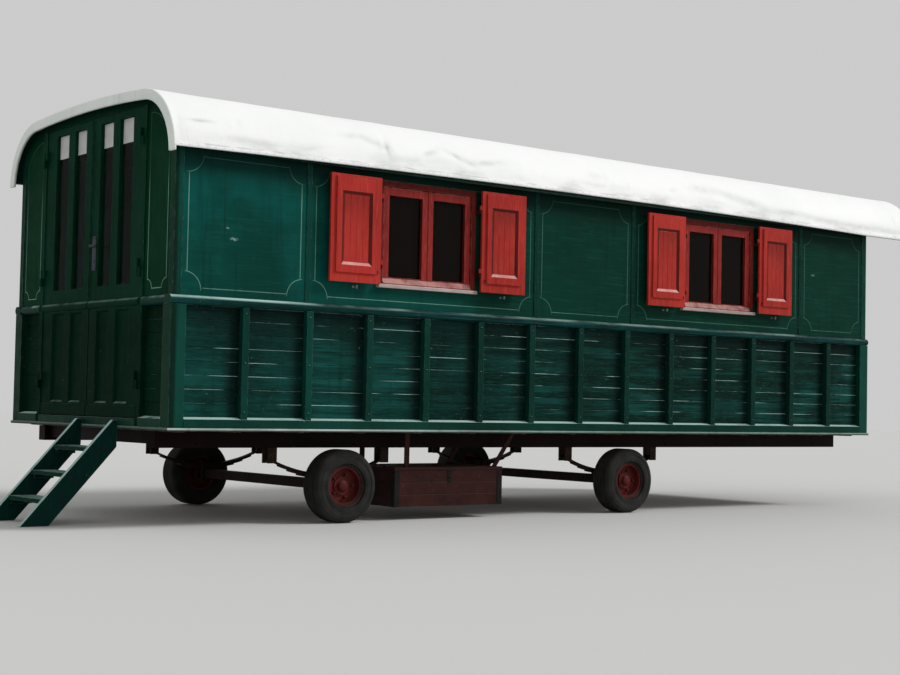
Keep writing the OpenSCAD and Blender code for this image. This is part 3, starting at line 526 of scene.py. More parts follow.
def turned(bm, foot, along, profile, sides=16, closed=True):
    # a turned piece: profile is radius and height pairs, from the foot outward
    along = Vector(along).normalized()
    turn = along.to_track_quat("Z", "Y").to_matrix()
    rings = []
    for radius, height in profile:
        middle = Vector(foot) + along * height
        angles = [2 * pi * i / sides for i in range(sides if radius > 1e-6 else 1)]
        spots = [Vector((radius * cos(a), radius * sin(a), 0)) for a in angles]
        rings.append([bm.verts.new(middle + turn @ spot) for spot in spots])
    for one, two in zip(rings, rings[1:]):
        for i in range(sides):
            corners = [one[i % len(one)], one[(i + 1) % len(one)], two[(i + 1) % len(two)], two[i % len(two)]]
            bm.faces.new([c for k, c in enumerate(corners) if c not in corners[:k]])
    for ring in (rings[0], rings[-1]):
        if closed and len(ring) > 1:
            bm.faces.new(ring)


def rod(bm, start, end, radius, sides=12):
    along = Vector(end) - Vector(start)
    turned(bm, start, along, [(radius, 0), (radius, along.length)], sides)


def domeHead(bm, spot, along, radius, sides=10):
    # the round head of a coach bolt or clout nail
    turned(bm, spot, along, [(radius, -0.5 * mm), (radius, radius * 0.2), (radius * 0.75, radius * 0.5),
                             (radius * 0.4, radius * 0.68), (0, radius * 0.75)], sides)


def strips(bm, rows, around=False):
    # faces between each row of vertices and the next
    for one, two in zip(rows, rows[1:]):
        for c in range(0 if around else 1, len(one)):
            bm.faces.new([one[c - 1], one[c], two[c], two[c - 1]])


def ribbon(bm, line, width, toWorld):
    # a painted line of one width along a closed outline
    inner, outer = [], []
    for i, here in enumerate(line):
        one = (here - line[i - 1]).normalized()
        two = (line[(i + 1) % len(line)] - here).normalized()
        across = Vector((-(one.y + two.y), one.x + two.x)).normalized()
        spread = width / 2 / max(0.5, across.dot(Vector((-one.y, one.x))))
        inner.append(toWorld(here - across * spread))
        outer.append(toWorld(here + across * spread))
    for i in range(len(line)):
        j = (i + 1) % len(line)
        bm.faces.new([bm.verts.new(p) for p in (inner[i], inner[j], outer[j], outer[i])])


wheels = ["front_near", "front_far", "rear_near", "rear_far"]
finishes = [
    (panelEnamel, "near_upper_wall far_upper_wall"), (boardEnamel, "near_lower_wall far_lower_wall"),
    (endEnamel, "end_upper_walls"), (endBoardEnamel, "end_lower_walls"), (uprightEnamel, "wall_ribs"),
    (postEnamel, "corner_posts"), (railEnamel, "bottom_rails"), (waistEnamel, "waist_rails"),
    (dripPaint, "drip_edge"), (doorEnamel, "near_door_leaf far_door_leaf door_jambs"),
    (doorGlass, "near_door_glass far_door_glass"),
    (shutterEnamel, "near_shutter_1 near_shutter_2 near_shutter_3 near_shutter_4 far_shutters"),
    (bracketIron, "shutter_brackets"), (frameEnamel, "window_frames"), (sillPaint, "window_sills"),
    (windowGlass, "window_glass"), (stepEnamel, "step_stringers"), (treadEnamel, "step_treads"),
    (deckTimber, "floor_deck"), (bearerTimber, "floor_bearers"), (deckEnamel, "roof_deck"),
    (roofCanvas, "roof_cover"), (chassisPaint, "chassis_rails cross_members"),
    (rustedSteel, "axles spring_sets"), (boxPaint, "underfloor_box"), (lockSteel, "door_lock"),
    (rimPaint, "_rim ".join(wheels) + "_rim"), (tyreBlack, "_tyre ".join(wheels) + "_tyre")]
for material, names in finishes:
    for name in names.split():
        mesh = frame["nodes"][name].data
        mesh.materials.clear()
        mesh.materials.append(material)
print("the frame's nodes are painted")


# boards of the lower walls, one bay between two ribs at a time

boards = inMetres({
    "rowCount": 8, "proudMm": 6, "arrisMm": 5, "unevenMm": 1.2, "tiltMm": 2.0, "clearMm": 1.5, "gapMm": 0.6})


def freeStretches(blocks, axis, low, high):
    # what is left of a wall between the uprights that stand on it, without slits under 20 mm
    edges = sorted((b[0][axis], b[1][axis]) for b in blocks)
    spots = [low, *(spot for pair in edges for spot in pair), high]
    return [(a, b) for a, b in zip(spots[::2], spots[1::2]) if b - a > 20 * mm]


def boardedBays(name, face, outward, bays, axis, seed, material):
    # face is the wall's outer plane, outward the sign of its outside
    bm = bmesh.new()
    rnd = random.Random(seed)
    pitch = (waistFoot - boardFoot) / boards.rowCount
    for start, end in bays:
        for row in range(boards.rowCount):
            z0 = boardFoot + row * pitch
            proud = boards.proud + rnd.uniform(-1, 1) * boards.uneven
            cup = rnd.uniform(-1, 1) * boards.uneven
            tilt = rnd.uniform(-1, 1) * boards.tilt

            def weathered(spot):
                out = spot.copy()
                if (spot[1 - axis] - face) * outward > mm:
                    out[1 - axis] += outward * cup * ((spot.z - z0) / pitch - 0.5) * 2
                if 0 < row < boards.rowCount - 1:
                    out.z += tilt * ((spot[axis] - start) / (end - start) - 0.5)
                return out

            a = [face, face, z0 + boards.gap / 2]
            b = [face + outward * proud] * 2 + [z0 + pitch - boards.gap / 2]
            a[axis], b[axis] = start + boards.clear, end - boards.clear
            slab(bm, a, b, boards.arris, weathered)
    meshPiece(name, bm, material)


for sideName, sign in (("near", -1), ("far", 1)):
    lo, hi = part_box(sideName + "_lower_wall")
    ribs = [b for b in lowRibs if (b[0].y + b[1].y) * sign > 2 * sideFace and b[1].x < hi.x]
    bays = freeStretches(ribs, 0, lo.x, hi.x)
    boardedBays(sideName + "Boards", sign * sideFace, sign, bays, 0, 11 + sign, boardEnamel)
endWalls = solidBoxes("end_lower_walls")
rearFace = endWalls[-1][1].x
rearRibs = [b for b in lowRibs if b[1].x > rearFace + 0.02 and abs(b[0].y + b[1].y) < 2 * sideFace]
bays = freeStretches(rearRibs, 1, endWalls[-1][0].y, endWalls[-1][1].y)
boardedBays("rearBoards", rearFace, 1, bays, 1, 31, boardEnamel)
bays = [(b[0].y, b[1].y) for b in endWalls[:2]]
boardedBays("entranceBoards", endWalls[0][0].x, -1, bays, 1, 32, endBoardEnamel)
print("the lower boards are on")


# the roof's line, which the covering, the bows and the end panels' painted lines follow

roof = inMetres({
    "shoulderMm": 470, "shoulderDropMm": 33, "stationMm": 26, "acrossMm": 22, "archMm": 42,
    "archAtMm": 3450, "archSpanMm": 3600, "archEndMm": 8, "hemDeepMm": 25, "hemProudMm": 2.5,
    "puckerMm": 2.0, "hoopMm": 0.5, "hoopPitchMm": 553, "lapOneMm": 1735, "lapTwoMm": 5110, "lapMm": 32,
    "lapProudMm": 0.8, "nailMm": 3.5, "nailPitchMm": 64,
    "nailInMm": 50, "rollMm": 10, "calmMm": 50, "endDipMm": 3})
coverLow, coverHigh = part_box("roof_cover")
sideY = coverHigh.y - roof.shoulder
sideZ = coverLow.z - roof.shoulderDrop
crownRise = coverHigh.z - sideZ
crown = (sideY ** 2 + crownRise ** 2 - roof.shoulder ** 2) / (2 * (crownRise - roof.shoulder))
crownZ = coverHigh.z - crown
shoulderTop = atan2(sideZ - crownZ, sideY)


def roofPoint(share, inset=0.0, lift=0.0, up=0.0):
    # y, z, the outward direction and the way up from the eave, on the far half: share runs to the crown
    small, large = roof.shoulder - inset, crown - inset
    start = asin((coverLow.z + lift - sideZ) / small)
    lower = (shoulderTop - start) * small
    upper = (pi / 2 - shoulderTop) * large
    along = up + share * (lower + upper - up)
    if along < lower:
        a = start + along / small
        return sideY + small * cos(a), sideZ + small * sin(a), cos(a), sin(a), along
    a = min(shoulderTop + (along - lower) / large, pi / 2)
    return large * cos(a), crownZ + large * sin(a), cos(a), sin(a), along


def bothSides(half):
    # a line from the near side over the crown to the far side
    return [(-y, z, -ny, *more) for y, z, ny, *more in half] + half[-2::-1]


# painted lines in each upper panel, with stepped hollow corners

lines = inMetres({
    "widthMm": 5.5, "insetMm": 60, "stepMm": 15, "cornerMm": 120, "footMm": 50, "headUpMm": 911,
    "liftMm": 0.5, "endInsetMm": 42, "endCornerMm": 62, "endRoofMm": 150, "halfBattenMm": 18})


def hollowCorner(cx, cz, radius, first, steps=10):
    # a quarter circle bitten out of a corner, turning clockwise from the first angle
    angles = [radians(first - 90 * i / steps) for i in range(steps + 1)]
    return [(cx + radius * cos(a), cz + radius * sin(a)) for a in angles]


def panelLine(x0, x1, z0, z1):
    step, radius = lines.step, lines.corner
    reach = radius - step
    out = [(x0, z0 + reach)] + hollowCorner(x0 - step, z0 - step, radius, 90) + [(x0 + reach, z0)]
    out += [(x1 - reach, z0)] + hollowCorner(x1 + step, z0 - step, radius, 180) + [(x1, z0 + reach)]
    out += [(x1, z1 - reach)] + hollowCorner(x1 + step, z1 + step, radius, 270) + [(x1 - reach, z1)]
    return out + [(x0 + reach, z1)] + hollowCorner(x0 - step, z1 + step, radius, 0) + [(x0, z1 - reach)]


def archedLine(y0, y1, z0):
    # an end panel's line: square below with hollow corners, and following the roof above
    roofSide = bothSides([roofPoint(i / 40, lines.endRoof) for i in range(41)])
    top = [(y, z) for y, z, *more in roofSide if y0 < y < y1]
    out = hollowCorner(y0, z0, lines.endCorner, 90) + hollowCorner(y1, z0, lines.endCorner, 180)
    return out + [(y1, top[-1][1])] + top[::-1] + [(y0, top[0][1])]


def drawLines(name, outlines, toWorld):
    bm = bmesh.new()
    for outline in outlines:
        ribbon(bm, [Vector(p) for p in outline], lines.width, toWorld)
    meshPiece(name, bm, linePaint)


battens = [b for b in ribBoxes if b[0].z > waistTop - 0.01 and b[0].y < 0]
joints = [(b[0].x + b[1].x) / 2 for b in battens]
joints = [panelLow.x - lines.halfBatten, *joints, panelHigh.x + lines.halfBatten]
wallOut = abs(panelLow.y)
lineFoot, lineHead = waistTop + lines.foot, waistTop + lines.headUp
outlines = [panelLine(a + lines.inset, b - lines.inset, lineFoot, lineHead)
            for a, b in zip(joints, joints[1:])]
for sideName, sign in (("near", -1), ("far", 1)):
    drawLines(sideName + "Lines", outlines, lambda p: Vector((p.x, sign * (wallOut + lines.lift), p.y)))
# the end's second solid is the piece over the doors, which has no line
nearPanel, farPanel, rearPanel = [solidBoxes("end_upper_walls")[i] for i in (0, 2, 3)]
for name, box, x in (("nearEndLine", nearPanel, nearPanel[0].x - lines.lift),
                     ("farEndLine", farPanel, farPanel[0].x - lines.lift),
                     ("rearEndLine", rearPanel, rearPanel[1].x + lines.lift)):
    outline = archedLine(box[0].y + lines.endInset, box[1].y - lines.endInset, lineFoot)
    drawLines(name, [outline], lambda p: Vector((x, p.x, p.y)))
print("the painted lines are on")


# casements: two sashes of stiles and a head over each sloping foot rail, with a gap where they meet

casement = inMetres({
    "frameMm": 42, "gapMm": 7, "jointMm": 4, "headMm": 60, "footMm": 44, "proudMm": 6, "tuckMm": 6,
    "arrisMm": 2.5})

for sideName, sign in (("near", -1), ("far", 1)):
    bm = bmesh.new()
    back, front = sign * (wallOut - casement.tuck), sign * (wallOut + casement.proud)
    panes = [b for b in solidBoxes("window_glass") if (b[0].y + b[1].y) * sign > 0]
    for lo, hi in solidBoxes("window_frames"):
        middle = (lo.x + hi.x) / 2
        for paneLow, paneHigh in panes:
            if (lo.y + hi.y) * sign < 0 or not lo.x < paneLow.x < hi.x:
                continue
            toHinge = -1 if paneLow.x < middle else 1
            hinge, inner = (paneLow.x, paneHigh.x)[::-toHinge]
            outer = middle + toHinge * ((hi.x - lo.x) / 2 - casement.frame - casement.joint)
            meet = middle + toHinge * casement.gap / 2
            foot, head = lo.z + casement.foot, paneHigh.z + casement.head - casement.joint
            slab(bm, (outer, back, foot), (hinge, front, head), casement.arris)
            slab(bm, (inner, back, foot), (meet, front, head), casement.arris)
            slab(bm, (hinge, back, paneHigh.z), (inner, front, head), casement.arris)
    meshPiece(sideName + "Casements", bm, sashEnamel)
print("the casements are in")


# shutters: a sloped moulding round a boarded field, an iron eye, and a catch on the wall below

trim = inMetres({
    "knuckleMm": 13, "rimMm": 42, "rimFootMm": 66, "rimHeadMm": 18, "stileMm": 42, "footRailMm": 52,
    "headRailMm": 100, "sunkMm": 12, "slopeMm": 24, "slopeFootMm": 26, "fieldBoards": 4, "fieldMm": 2.2,
    "fieldGapMm": 0.4, "tuckMm": 6, "eyeUpMm": 80, "eyeInMm": 26, "eyeTallMm": 22, "catchShiftMm": 30,
    "catchDownMm": 24, "catchMm": 26, "catchOutMm": 42, "catchHalfMm": 5, "eyeOutMm": 8, "eyeRodMm": 2.2})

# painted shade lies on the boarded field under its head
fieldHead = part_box("near_shutter_1")[1].z - trim.rimHead - trim.headRail
fieldEnamel = enamelOnTimber("redEnamelInShutterFields", dict(
    red, grime="#6a1a15", dampZ=(fieldHead - 0.26, fieldHead - 0.02), damp=0.5))


def slopedRing(bm, low, high, sideways, up, toWorld, outerDepth, innerDepth):
    # a moulding whose face slopes inward from a frame to what it holds
    (a0, c0), (a1, c1) = low, high
    outer = [(a0, c0), (a1, c0), (a1, c1), (a0, c1)]
    inner = [(a0 + sideways, c0 + up), (a1 - sideways, c0 + up), (a1 - sideways, c1 - sideways),
             (a0 + sideways, c1 - sideways)]
    spots = [(*spot, outerDepth) for spot in outer] + [(*spot, innerDepth) for spot in inner]
    for i in range(4):
        j = (i + 1) % 4
        bm.faces.new([bm.verts.new(toWorld(*spots[k])) for k in (i, j, 4 + j, 4 + i)])


def trimShutter(name, box, sign, body):
    # the leaf's boards end a little short of its hinge, where the knuckles are
    low, high = box[0].copy(), box[1].copy()
    hingeX = min(hingeXs, key=lambda x: min(abs(low.x - x), abs(high.x - x)))
    toMiddle = 1 if abs(low.x - hingeX) < abs(high.x - hingeX) else -1
    if toMiddle > 0:
        low.x = hingeX + trim.knuckle
    else:
        high.x = hingeX - trim.knuckle
    sunk = max(abs(low.y), abs(high.y)) - trim.sunk
    a0, a1 = low.x + trim.rim + trim.stile, high.x - trim.rim - trim.stile
    c0, c1 = low.z + trim.rimFoot + trim.footRail, high.z - trim.rimHead - trim.headRail
    bm = bmesh.new()
    slopedRing(bm, (a0, c0), (a1, c1), trim.slope, trim.slopeFoot, lambda x, z, d: Vector((x, sign * d, z)),
               sunk + trim.sunk - 0.5 * mm, sunk + 0.5 * mm)
    for face in bm.faces:
        # painted shade under the head and down the sides, and a painted highlight on the foot, whose slope
        # faces the sky
        face.material_index = 1 if face.calc_center_median().z > c0 + trim.slopeFoot else 2
    wide = (a1 - a0 - 2 * trim.slope) / trim.fieldBoards
    for i in range(trim.fieldBoards):
        x = a0 + trim.slope + i * wide
        slab(bm, (x + trim.fieldGap / 2, sign * (sunk - 2 * mm), c0 + trim.tuck),
             (x + wide - trim.fieldGap / 2, sign * (sunk + trim.field), c1 - trim.tuck), 2 * mm)
    panel = meshPiece(name + "Panel", bm, fieldEnamel, body)
    panel.data.materials.append(shadedShutterMoulding)
    panel.data.materials.append(litShutterFoot)
    bm = bmesh.new()
    x, z = (low.x if toMiddle > 0 else high.x) + toMiddle * trim.eyeIn, low.z + trim.eyeUp
    half = trim.eyeTall / 2
    for end in (z - half + 2 * mm, z + half - 2 * mm):
        rod(bm, (x, sign * (sunk - 2 * mm), end), (x, sign * (sunk + trim.eyeOut + mm), end), 2 * mm)
    y = sign * (sunk + trim.eyeOut)
    rod(bm, (x, y, z - half), (x, y, z + half), trim.eyeRod)
    meshPiece(name + "Eye", bm, blackIron, body)
    bm = bmesh.new()
    x, z = (low.x + high.x) / 2 + trim.catchShift, low.z - trim.catchDown
    turned(bm, (x, sign * wallOut, z), (0, sign, 0), [
        (radius * mm, out * mm) for radius, out in ((9, 0), (9, 2), (3, 3), (3, 48), (5, 49), (5, 53))], 12)
    slab(bm, (x - trim.catchHalf, sign * (wallOut + trim.catchOut), z - 0.6 * trim.catch),
         (x + trim.catchHalf, sign * (wallOut + trim.catchOut + 6 * mm), z + 0.4 * trim.catch), 2 * mm)
    meshPiece(name + "Catch", bm, paleIron, "wagon")


pivots = {j["child"]: Vector(j["pos_m"]) for j in frame["joints"]}
hingeXs = [pivots[f"shutter_{i}"].x for i in range(1, 5)]
for i in range(1, 5):
    trimShutter(f"shutter{i}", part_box(f"near_shutter_{i}"), -1, f"shutter_{i}")
for i, box in enumerate(solidBoxes("far_shutters"), 1):
    trimShutter(f"farShutter{i}", box, 1, "wagon")
print("the shutters are trimmed")


# doors: mouldings in the sunk panels, a bead down each meeting edge, screws, and blinds at the panes' heads

door = inMetres({
    "glassMm": 20.5, "mouldMm": 13, "panelFootMm": 170, "panelHeadMm": 812, "sunkMm": 18, "stileMm": 107,
    "beadMm": 16, "beadOutMm": 5, "blindDropMm": 168, "blindGapMm": 2.5, "blindSideMm": 1, "blindHeadMm": 3,
    "foldMm": 1.2, "ruffleMm": 0.8, "plateMm": 4, "screwMm": 4.5, "screwInMm": 14, "screwOffMm": 20,
    "keyUpMm": 62})


def blindAt(name, pane, body):
    low, high = pane
    y0, y1, drop = low.y + door.blindSide, high.y - door.blindSide, door.blindDrop
    bm = bmesh.new()
    grid = []
    for u in (r / 12 for r in range(13)):
        row = []
        for c in range(11):
            fold = door.fold * sin(c * 1.8) * u + door.ruffle * noise.noise((c * 0.3, u * 3, y0))
            z = high.z - door.blindHead - drop * u
            row.append(bm.verts.new((high.x + door.blindGap + fold, y0 + (y1 - y0) * c / 10, z)))
        grid.append(row)
    strips(bm, grid)
    made = meshPiece(name, bm, blindCotton, body, smooth=True)


for leaf, sign in (("near_door", -1), ("far_door", 1)):
    panes = solidBoxes(leaf + "_glass")
    low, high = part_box(leaf + "_leaf")
    face = panes[0][0].x - door.glass
    meetY = min(abs(low.y), abs(high.y))
    bm = bmesh.new()
    foot, head = bodyFoot + door.panelFoot, bodyFoot + door.panelHead
    for paneLow, paneHigh in panes:
        slopedRing(bm, (paneLow.y, foot), (paneHigh.y, head), door.mould, door.mould,
                   lambda y, z, x: Vector((x, y, z)), face + 0.5 * mm, face + door.sunk - 0.5 * mm)
    slab(bm, (face - door.beadOut, sign * (meetY + mm), waistTop + 4 * mm),
         (face + mm, sign * (meetY + door.bead), high.z - 4 * mm), 4 * mm)
    meshPiece(leaf + "Mouldings", bm, doorEnamel, leaf)
    for i, pane in enumerate(panes, 1):
        blindAt(f"{leaf}Blind{i}", pane, leaf)
plateLow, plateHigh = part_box("door_lock")
plateX, plateY = face - door.plate, -(meetY + door.stile / 2)
bm = bmesh.new()
for z in (plateLow.z + door.screwIn, plateHigh.z - door.screwIn):
    for y in (plateY - door.screwOff, plateY + door.screwOff):
        domeHead(bm, (plateX, y, z), (-1, 0, 0), door.screw)
turned(bm, (plateX + mm, plateY, plateLow.z + door.keyUp), (-1, 0, 0), [
    (radius * mm, out * mm) for radius, out in ((13, 0), (13, 3), (9, 4.5), (4, 4.5), (4, 1.5))], 20)
meshPiece("lockScrews", bm, lockSteel, "near_door")
print("the doors are dressed")


# the roof's covering: one canvas drawn over the boards, its hem turned in and nailed, higher at mid length;
# each dent is how far along the body and up from the hem it lies in mm, its half length and half height, its
# tilt, its depth in mm and how much dirt and painted shade it holds

dents = [
    (180, 198, 75, 12, 0.03, 5, 1.0), (1690, 262, 16, 110, -0.03, 3, 0.0), (1676, 165, 16, 60, 0, 8, 1.2),
    (1400, 245, 110, 26, 0.1, 4, 0.4), (1560, 208, 110, 26, -0.35, 5, 0.5), (540, 78, 260, 22, 0, 4, 0.5),
    (2060, 180, 70, 24, 0.4, 5, 0.5), (2190, 160, 110, 45, 0, -9, 0.0), (2320, 176, 115, 22, -0.39, 7, 0.8),
    (2580, 156, 190, 24, 0.13, 4, 0.6), (1870, 92, 190, 28, 0.03, 4, 0.35), (3705, 180, 90, 36, 0, 3, 0.25),
    (4571, 153, 45, 20, 0.2, 5, 0.3), (4960, 206, 170, 48, 0, 7, 0.5), (5300, 172, 170, 50, -0.2, 8, 0.5),
    (5560, 135, 160, 46, -0.15, 6, 0.5), (6000, 98, 230, 22, 0, 5, 0.6), (6500, 74, 270, 20, 0, 6, 0.5),
    (7000, 68, 270, 20, 0, 6, 0.5), (7400, 62, 200, 20, 0, 6, 0.5), (27, 110, 12, 120, 0, 2.5, 0.5),
    (3900, 330, 500, 80, 0.1, 5, 0.0), (6300, 300, 420, 90, -0.1, 6, 0.0)]
x0, x1 = coverLow.x, coverHigh.x


def hemLift(x):
    # how much higher the hem hangs at mid length than at its ends
    across = (x - bodyStart - roof.archAt) / roof.archSpan
    return roof.archEnd + (roof.arch - roof.archEnd) * max(0.0, 1 - across * across)


def dentAt(x, up):
    # how deep the canvas is pressed in, and how much dirt and painted shade lies there
    deep = dirtAndShadeHeld = 0.0
    for alongMm, upMm, longMm, highMm, tilt, deepMm, dirt in dents:
        dx = x - bodyStart - alongMm * mm
        if abs(dx) < 3 * longMm * mm:
            hollow = exp(-(dx / (longMm * mm)) ** 2 - ((up - upMm * mm - tilt * dx) / (highMm * mm)) ** 2)
            deep += hollow * deepMm * mm
            dirtAndShadeHeld += hollow * dirt
    return deep, min(1.0, dirtAndShadeHeld)


def coverLift(x, y, z):
    # how far the canvas stands off its even line, apart from its dents
    pucker = noise.noise(Vector((x * 2.3, y * 3.4, z * 3.4)))
    pucker += 0.4 * noise.noise(Vector((x * 6.1, y * 9.5, z * 9.5 + 3)))
    hoop = roof.hoop * cos((x - bodyStart) * 2 * pi / roof.hoopPitch)
    lap = any(0 <= x - bodyStart - at < roof.lap for at in (roof.lapOne, roof.lapTwo))
    return roof.pucker * pucker + hoop + lap * roof.lapProud - mm


def coverRow(x):
    # the canvas across the roof at x: the hem turned in, its outer strip, then the drawn cloth
    lift, proud = hemLift(x), roof.hemProud
    hem = [(0, -9 * mm), (0, -4 * mm), (0.4 * mm, proud - mm), (1.6 * mm, proud), (12 * mm, proud),
           (roof.hemDeep - mm, proud), (roof.hemDeep + 1.5 * mm, 0)]
    half = []
    for above, out in hem:
        y, z, ny, nz, up = roofPoint(0, 0, lift, above)
        half.append((y + ny * out, z + nz * out, ny, nz, up, False))
    rows = round(1.6 / roof.across)
    cloth = [roofPoint(i / rows, 0, lift, roof.hemDeep + 12 * mm) for i in range(rows + 1)]
    return bothSides(half + [(*spot, True) for spot in cloth])


bm = bmesh.new()
hemLayer = bm.verts.layers.float.new("fromHem")
creaseLayer = bm.verts.layers.float.new("creased")
# the canvas rolls over each end, then lies still for a few centimetres before it starts to pucker
lip = (x1 - x0) * 0.0006
flat = x1 - x0 - 2 * roof.roll
count = round(flat / roof.station)
stations = [x0 + roof.roll + flat * i / count for i in range(count + 1)]
stations = [x0, x0 + lip, *stations, x1 - lip, x1]
grid = []
for x in stations:
    endness = min(x - x0, x1 - x)
    calm = max(0.0, min(1.0, (endness - 8 * mm) / roof.calm))
    row = []
    for y, z, ny, nz, up, drawn in coverRow(x):
        deep, dirtAndShadeHeld = dentAt(x, up)
        lift = (coverLift(x, y, z) - deep) * calm * drawn - roof.endDip * max(0.0, 1 - endness / (5 * mm))
        vert = bm.verts.new((x, y + ny * lift, z + nz * lift))
        vert[hemLayer] = up
        vert[creaseLayer] = dirtAndShadeHeld * drawn
        row.append(vert)
    grid.append(row)
strips(bm, grid)
cover = meshPiece("roofCanvas", bm, roofCanvas, smooth=True)
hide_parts("roof_cover")
print("the roof is covered")


# ash bows that grip the canvas at both ends, deeper than the roof's edge, with rounded arrises

bow = inMetres({"deepMm": 72, "proudMm": 4, "thickMm": 20, "footMm": 17, "roundMm": 7})


def bowSection():
    # outward from the canvas's end, and how far in from the roof's line
    out, back, deep, r = bow.proud, bow.proud - bow.thick, bow.deep, bow.round
    return [(back, 0.5 * mm), (out - 1.8 * r, -1.5 * mm), (out - 0.9 * r, 0.2 * mm), (out - 0.3 * r, 0.6 * r),
            (out, 1.6 * r), (out + 0.8 * mm, 0.4 * deep), (out + 0.6 * mm, 0.7 * deep), (out, deep - r),
            (out - 0.3 * r, deep - 0.3 * r), (out - r, deep), (back, deep)]


for name, endX, outward in (("entranceBow", x0, -1), ("rearBow", x1, 1)):
    bm = bmesh.new()
    rings = []
    for i in range(61):
        spots = [(depth, roofPoint(i / 60, inset, -bow.foot)) for depth, inset in bowSection()]
        rings.append([Vector((endX + outward * depth, spot[0], spot[1])) for depth, spot in spots])
    middle = sum(rings[0], Vector()) / len(rings[0])
    foot = [middle + (spot - middle) * 0.86 - Vector((0, 0, 3 * mm)) for spot in rings[0]]
    half = [foot] + rings
    path = [[Vector((v.x, -v.y, v.z)) for v in ring] for ring in half] + half[-2::-1]
    made = [[bm.verts.new(v) for v in ring] for ring in path]
    strips(bm, made, around=True)
    bm.faces.new(made[0])
    bm.faces.new(made[-1])
    meshPiece(name, bm, bowPaint, smooth=True)


# clout nails along the hems

bm = bmesh.new()
nailed = x1 - x0 - 2 * roof.nailIn
nailsAlong = round(nailed / roof.nailPitch)
for i in range(nailsAlong + 1):
    x = x0 + roof.nailIn + nailed * i / nailsAlong
    y, z, ny, nz, up = roofPoint(0, 0, hemLift(x), 14 * mm)
    for sign in (-1, 1):
        outward = Vector((0, sign * ny, nz))
        domeHead(bm, Vector((x, sign * y, z)) + outward * roof.hemProud, outward, roof.nail, 6)
meshPiece("cloutNails", bm, bowPaint)
print("the canvas is nailed")


# bolts and running gear

fixing = inMetres({
    "boltMm": 7, "endMm": 45, "railBoltMm": 9, "railBoltPitchMm": 620, "railBoltInMm": 28, "beamMm": 70,
    "plateMm": 12, "uBoltMm": 8, "uBoltOffMm": 54, "uBoltHalfMm": 39, "boltTailMm": 26, "springTopMm": 62,
    "uNutMm": 13, "uNutDeepMm": 10, "nutMm": 11, "bossMm": 84, "bossCount": 5, "bossOutMm": 32, "capMm": 40,
    "hubOutMm": 34})

bm = bmesh.new()
for lo, hi in lowRibs:
    middle = (lo + hi) / 2
    onSide = hi.x - lo.x < 0.2 and abs(middle.y) > sideFace and hi.x < rearFace
    sign = -1 if lo.y < 0 else 1
    for z in (lo.z + fixing.end, middle.z, hi.z - fixing.end):
        if onSide:
            domeHead(bm, (middle.x, max(abs(lo.y), abs(hi.y)) * sign, z), (0, sign, 0), fixing.bolt, 8)
        else:
            domeHead(bm, (hi.x, middle.y, z), (1, 0, 0), fixing.bolt, 8)
meshPiece("ribBolts", bm, uprightEnamel)

bm = bmesh.new()
for lo, hi in solidBoxes("chassis_rails"):
    sign = -1 if lo.y < 0 else 1
    count = round((hi.x - lo.x) / fixing.railBoltPitch)
    for i, z in product(range(count), (lo.z + fixing.railBoltIn, hi.z - fixing.railBoltIn)):
        spot = (lo.x + (i + 0.5) * (hi.x - lo.x) / count, sign * max(abs(lo.y), abs(hi.y)), z)
        domeHead(bm, spot, (0, sign, 0), fixing.railBolt, 8)
meshPiece("chassisBolts", bm, chassisPaint)

bm = bmesh.new()
springs = solidBoxes("spring_sets")
off, half, up = fixing.uBoltOff, fixing.uBoltHalf, Vector((0, 0, 1))
for lo, hi in solidBoxes("axles"):
    beamFoot = (lo.z + hi.z - fixing.beam) / 2
    plateFoot, boltTop = beamFoot - fixing.plate, beamFoot + fixing.beam + fixing.springTop
    for sign in (-1, 1):
        spring = Vector(((lo.x + hi.x) / 2, sign * max(abs(b[0].y + b[1].y) / 2 for b in springs), 0))
        for dx in (-off, off):
            for dy in (-half, half):
                bolt = spring + Vector((dx, dy, 0))
                rod(bm, bolt + up * (beamFoot - fixing.boltTail), bolt + up * boltTop, fixing.uBolt, 8)
                turned(bm, bolt + up * plateFoot, -up, [(fixing.uNut, 0), (fixing.uNut, fixing.uNutDeep)], 6)
            top, bar = spring + Vector((dx, 0, boltTop)), Vector((0, half + 5 * mm, 0))
            rod(bm, top - bar, top + bar, fixing.uBolt, 8)
        reach = Vector((off + 20 * mm, half + 13 * mm, 0))
        slab(bm, spring - reach + up * plateFoot, spring + reach + up * beamFoot, 2 * mm)
meshPiece("springBolts", bm, rustedSteel)

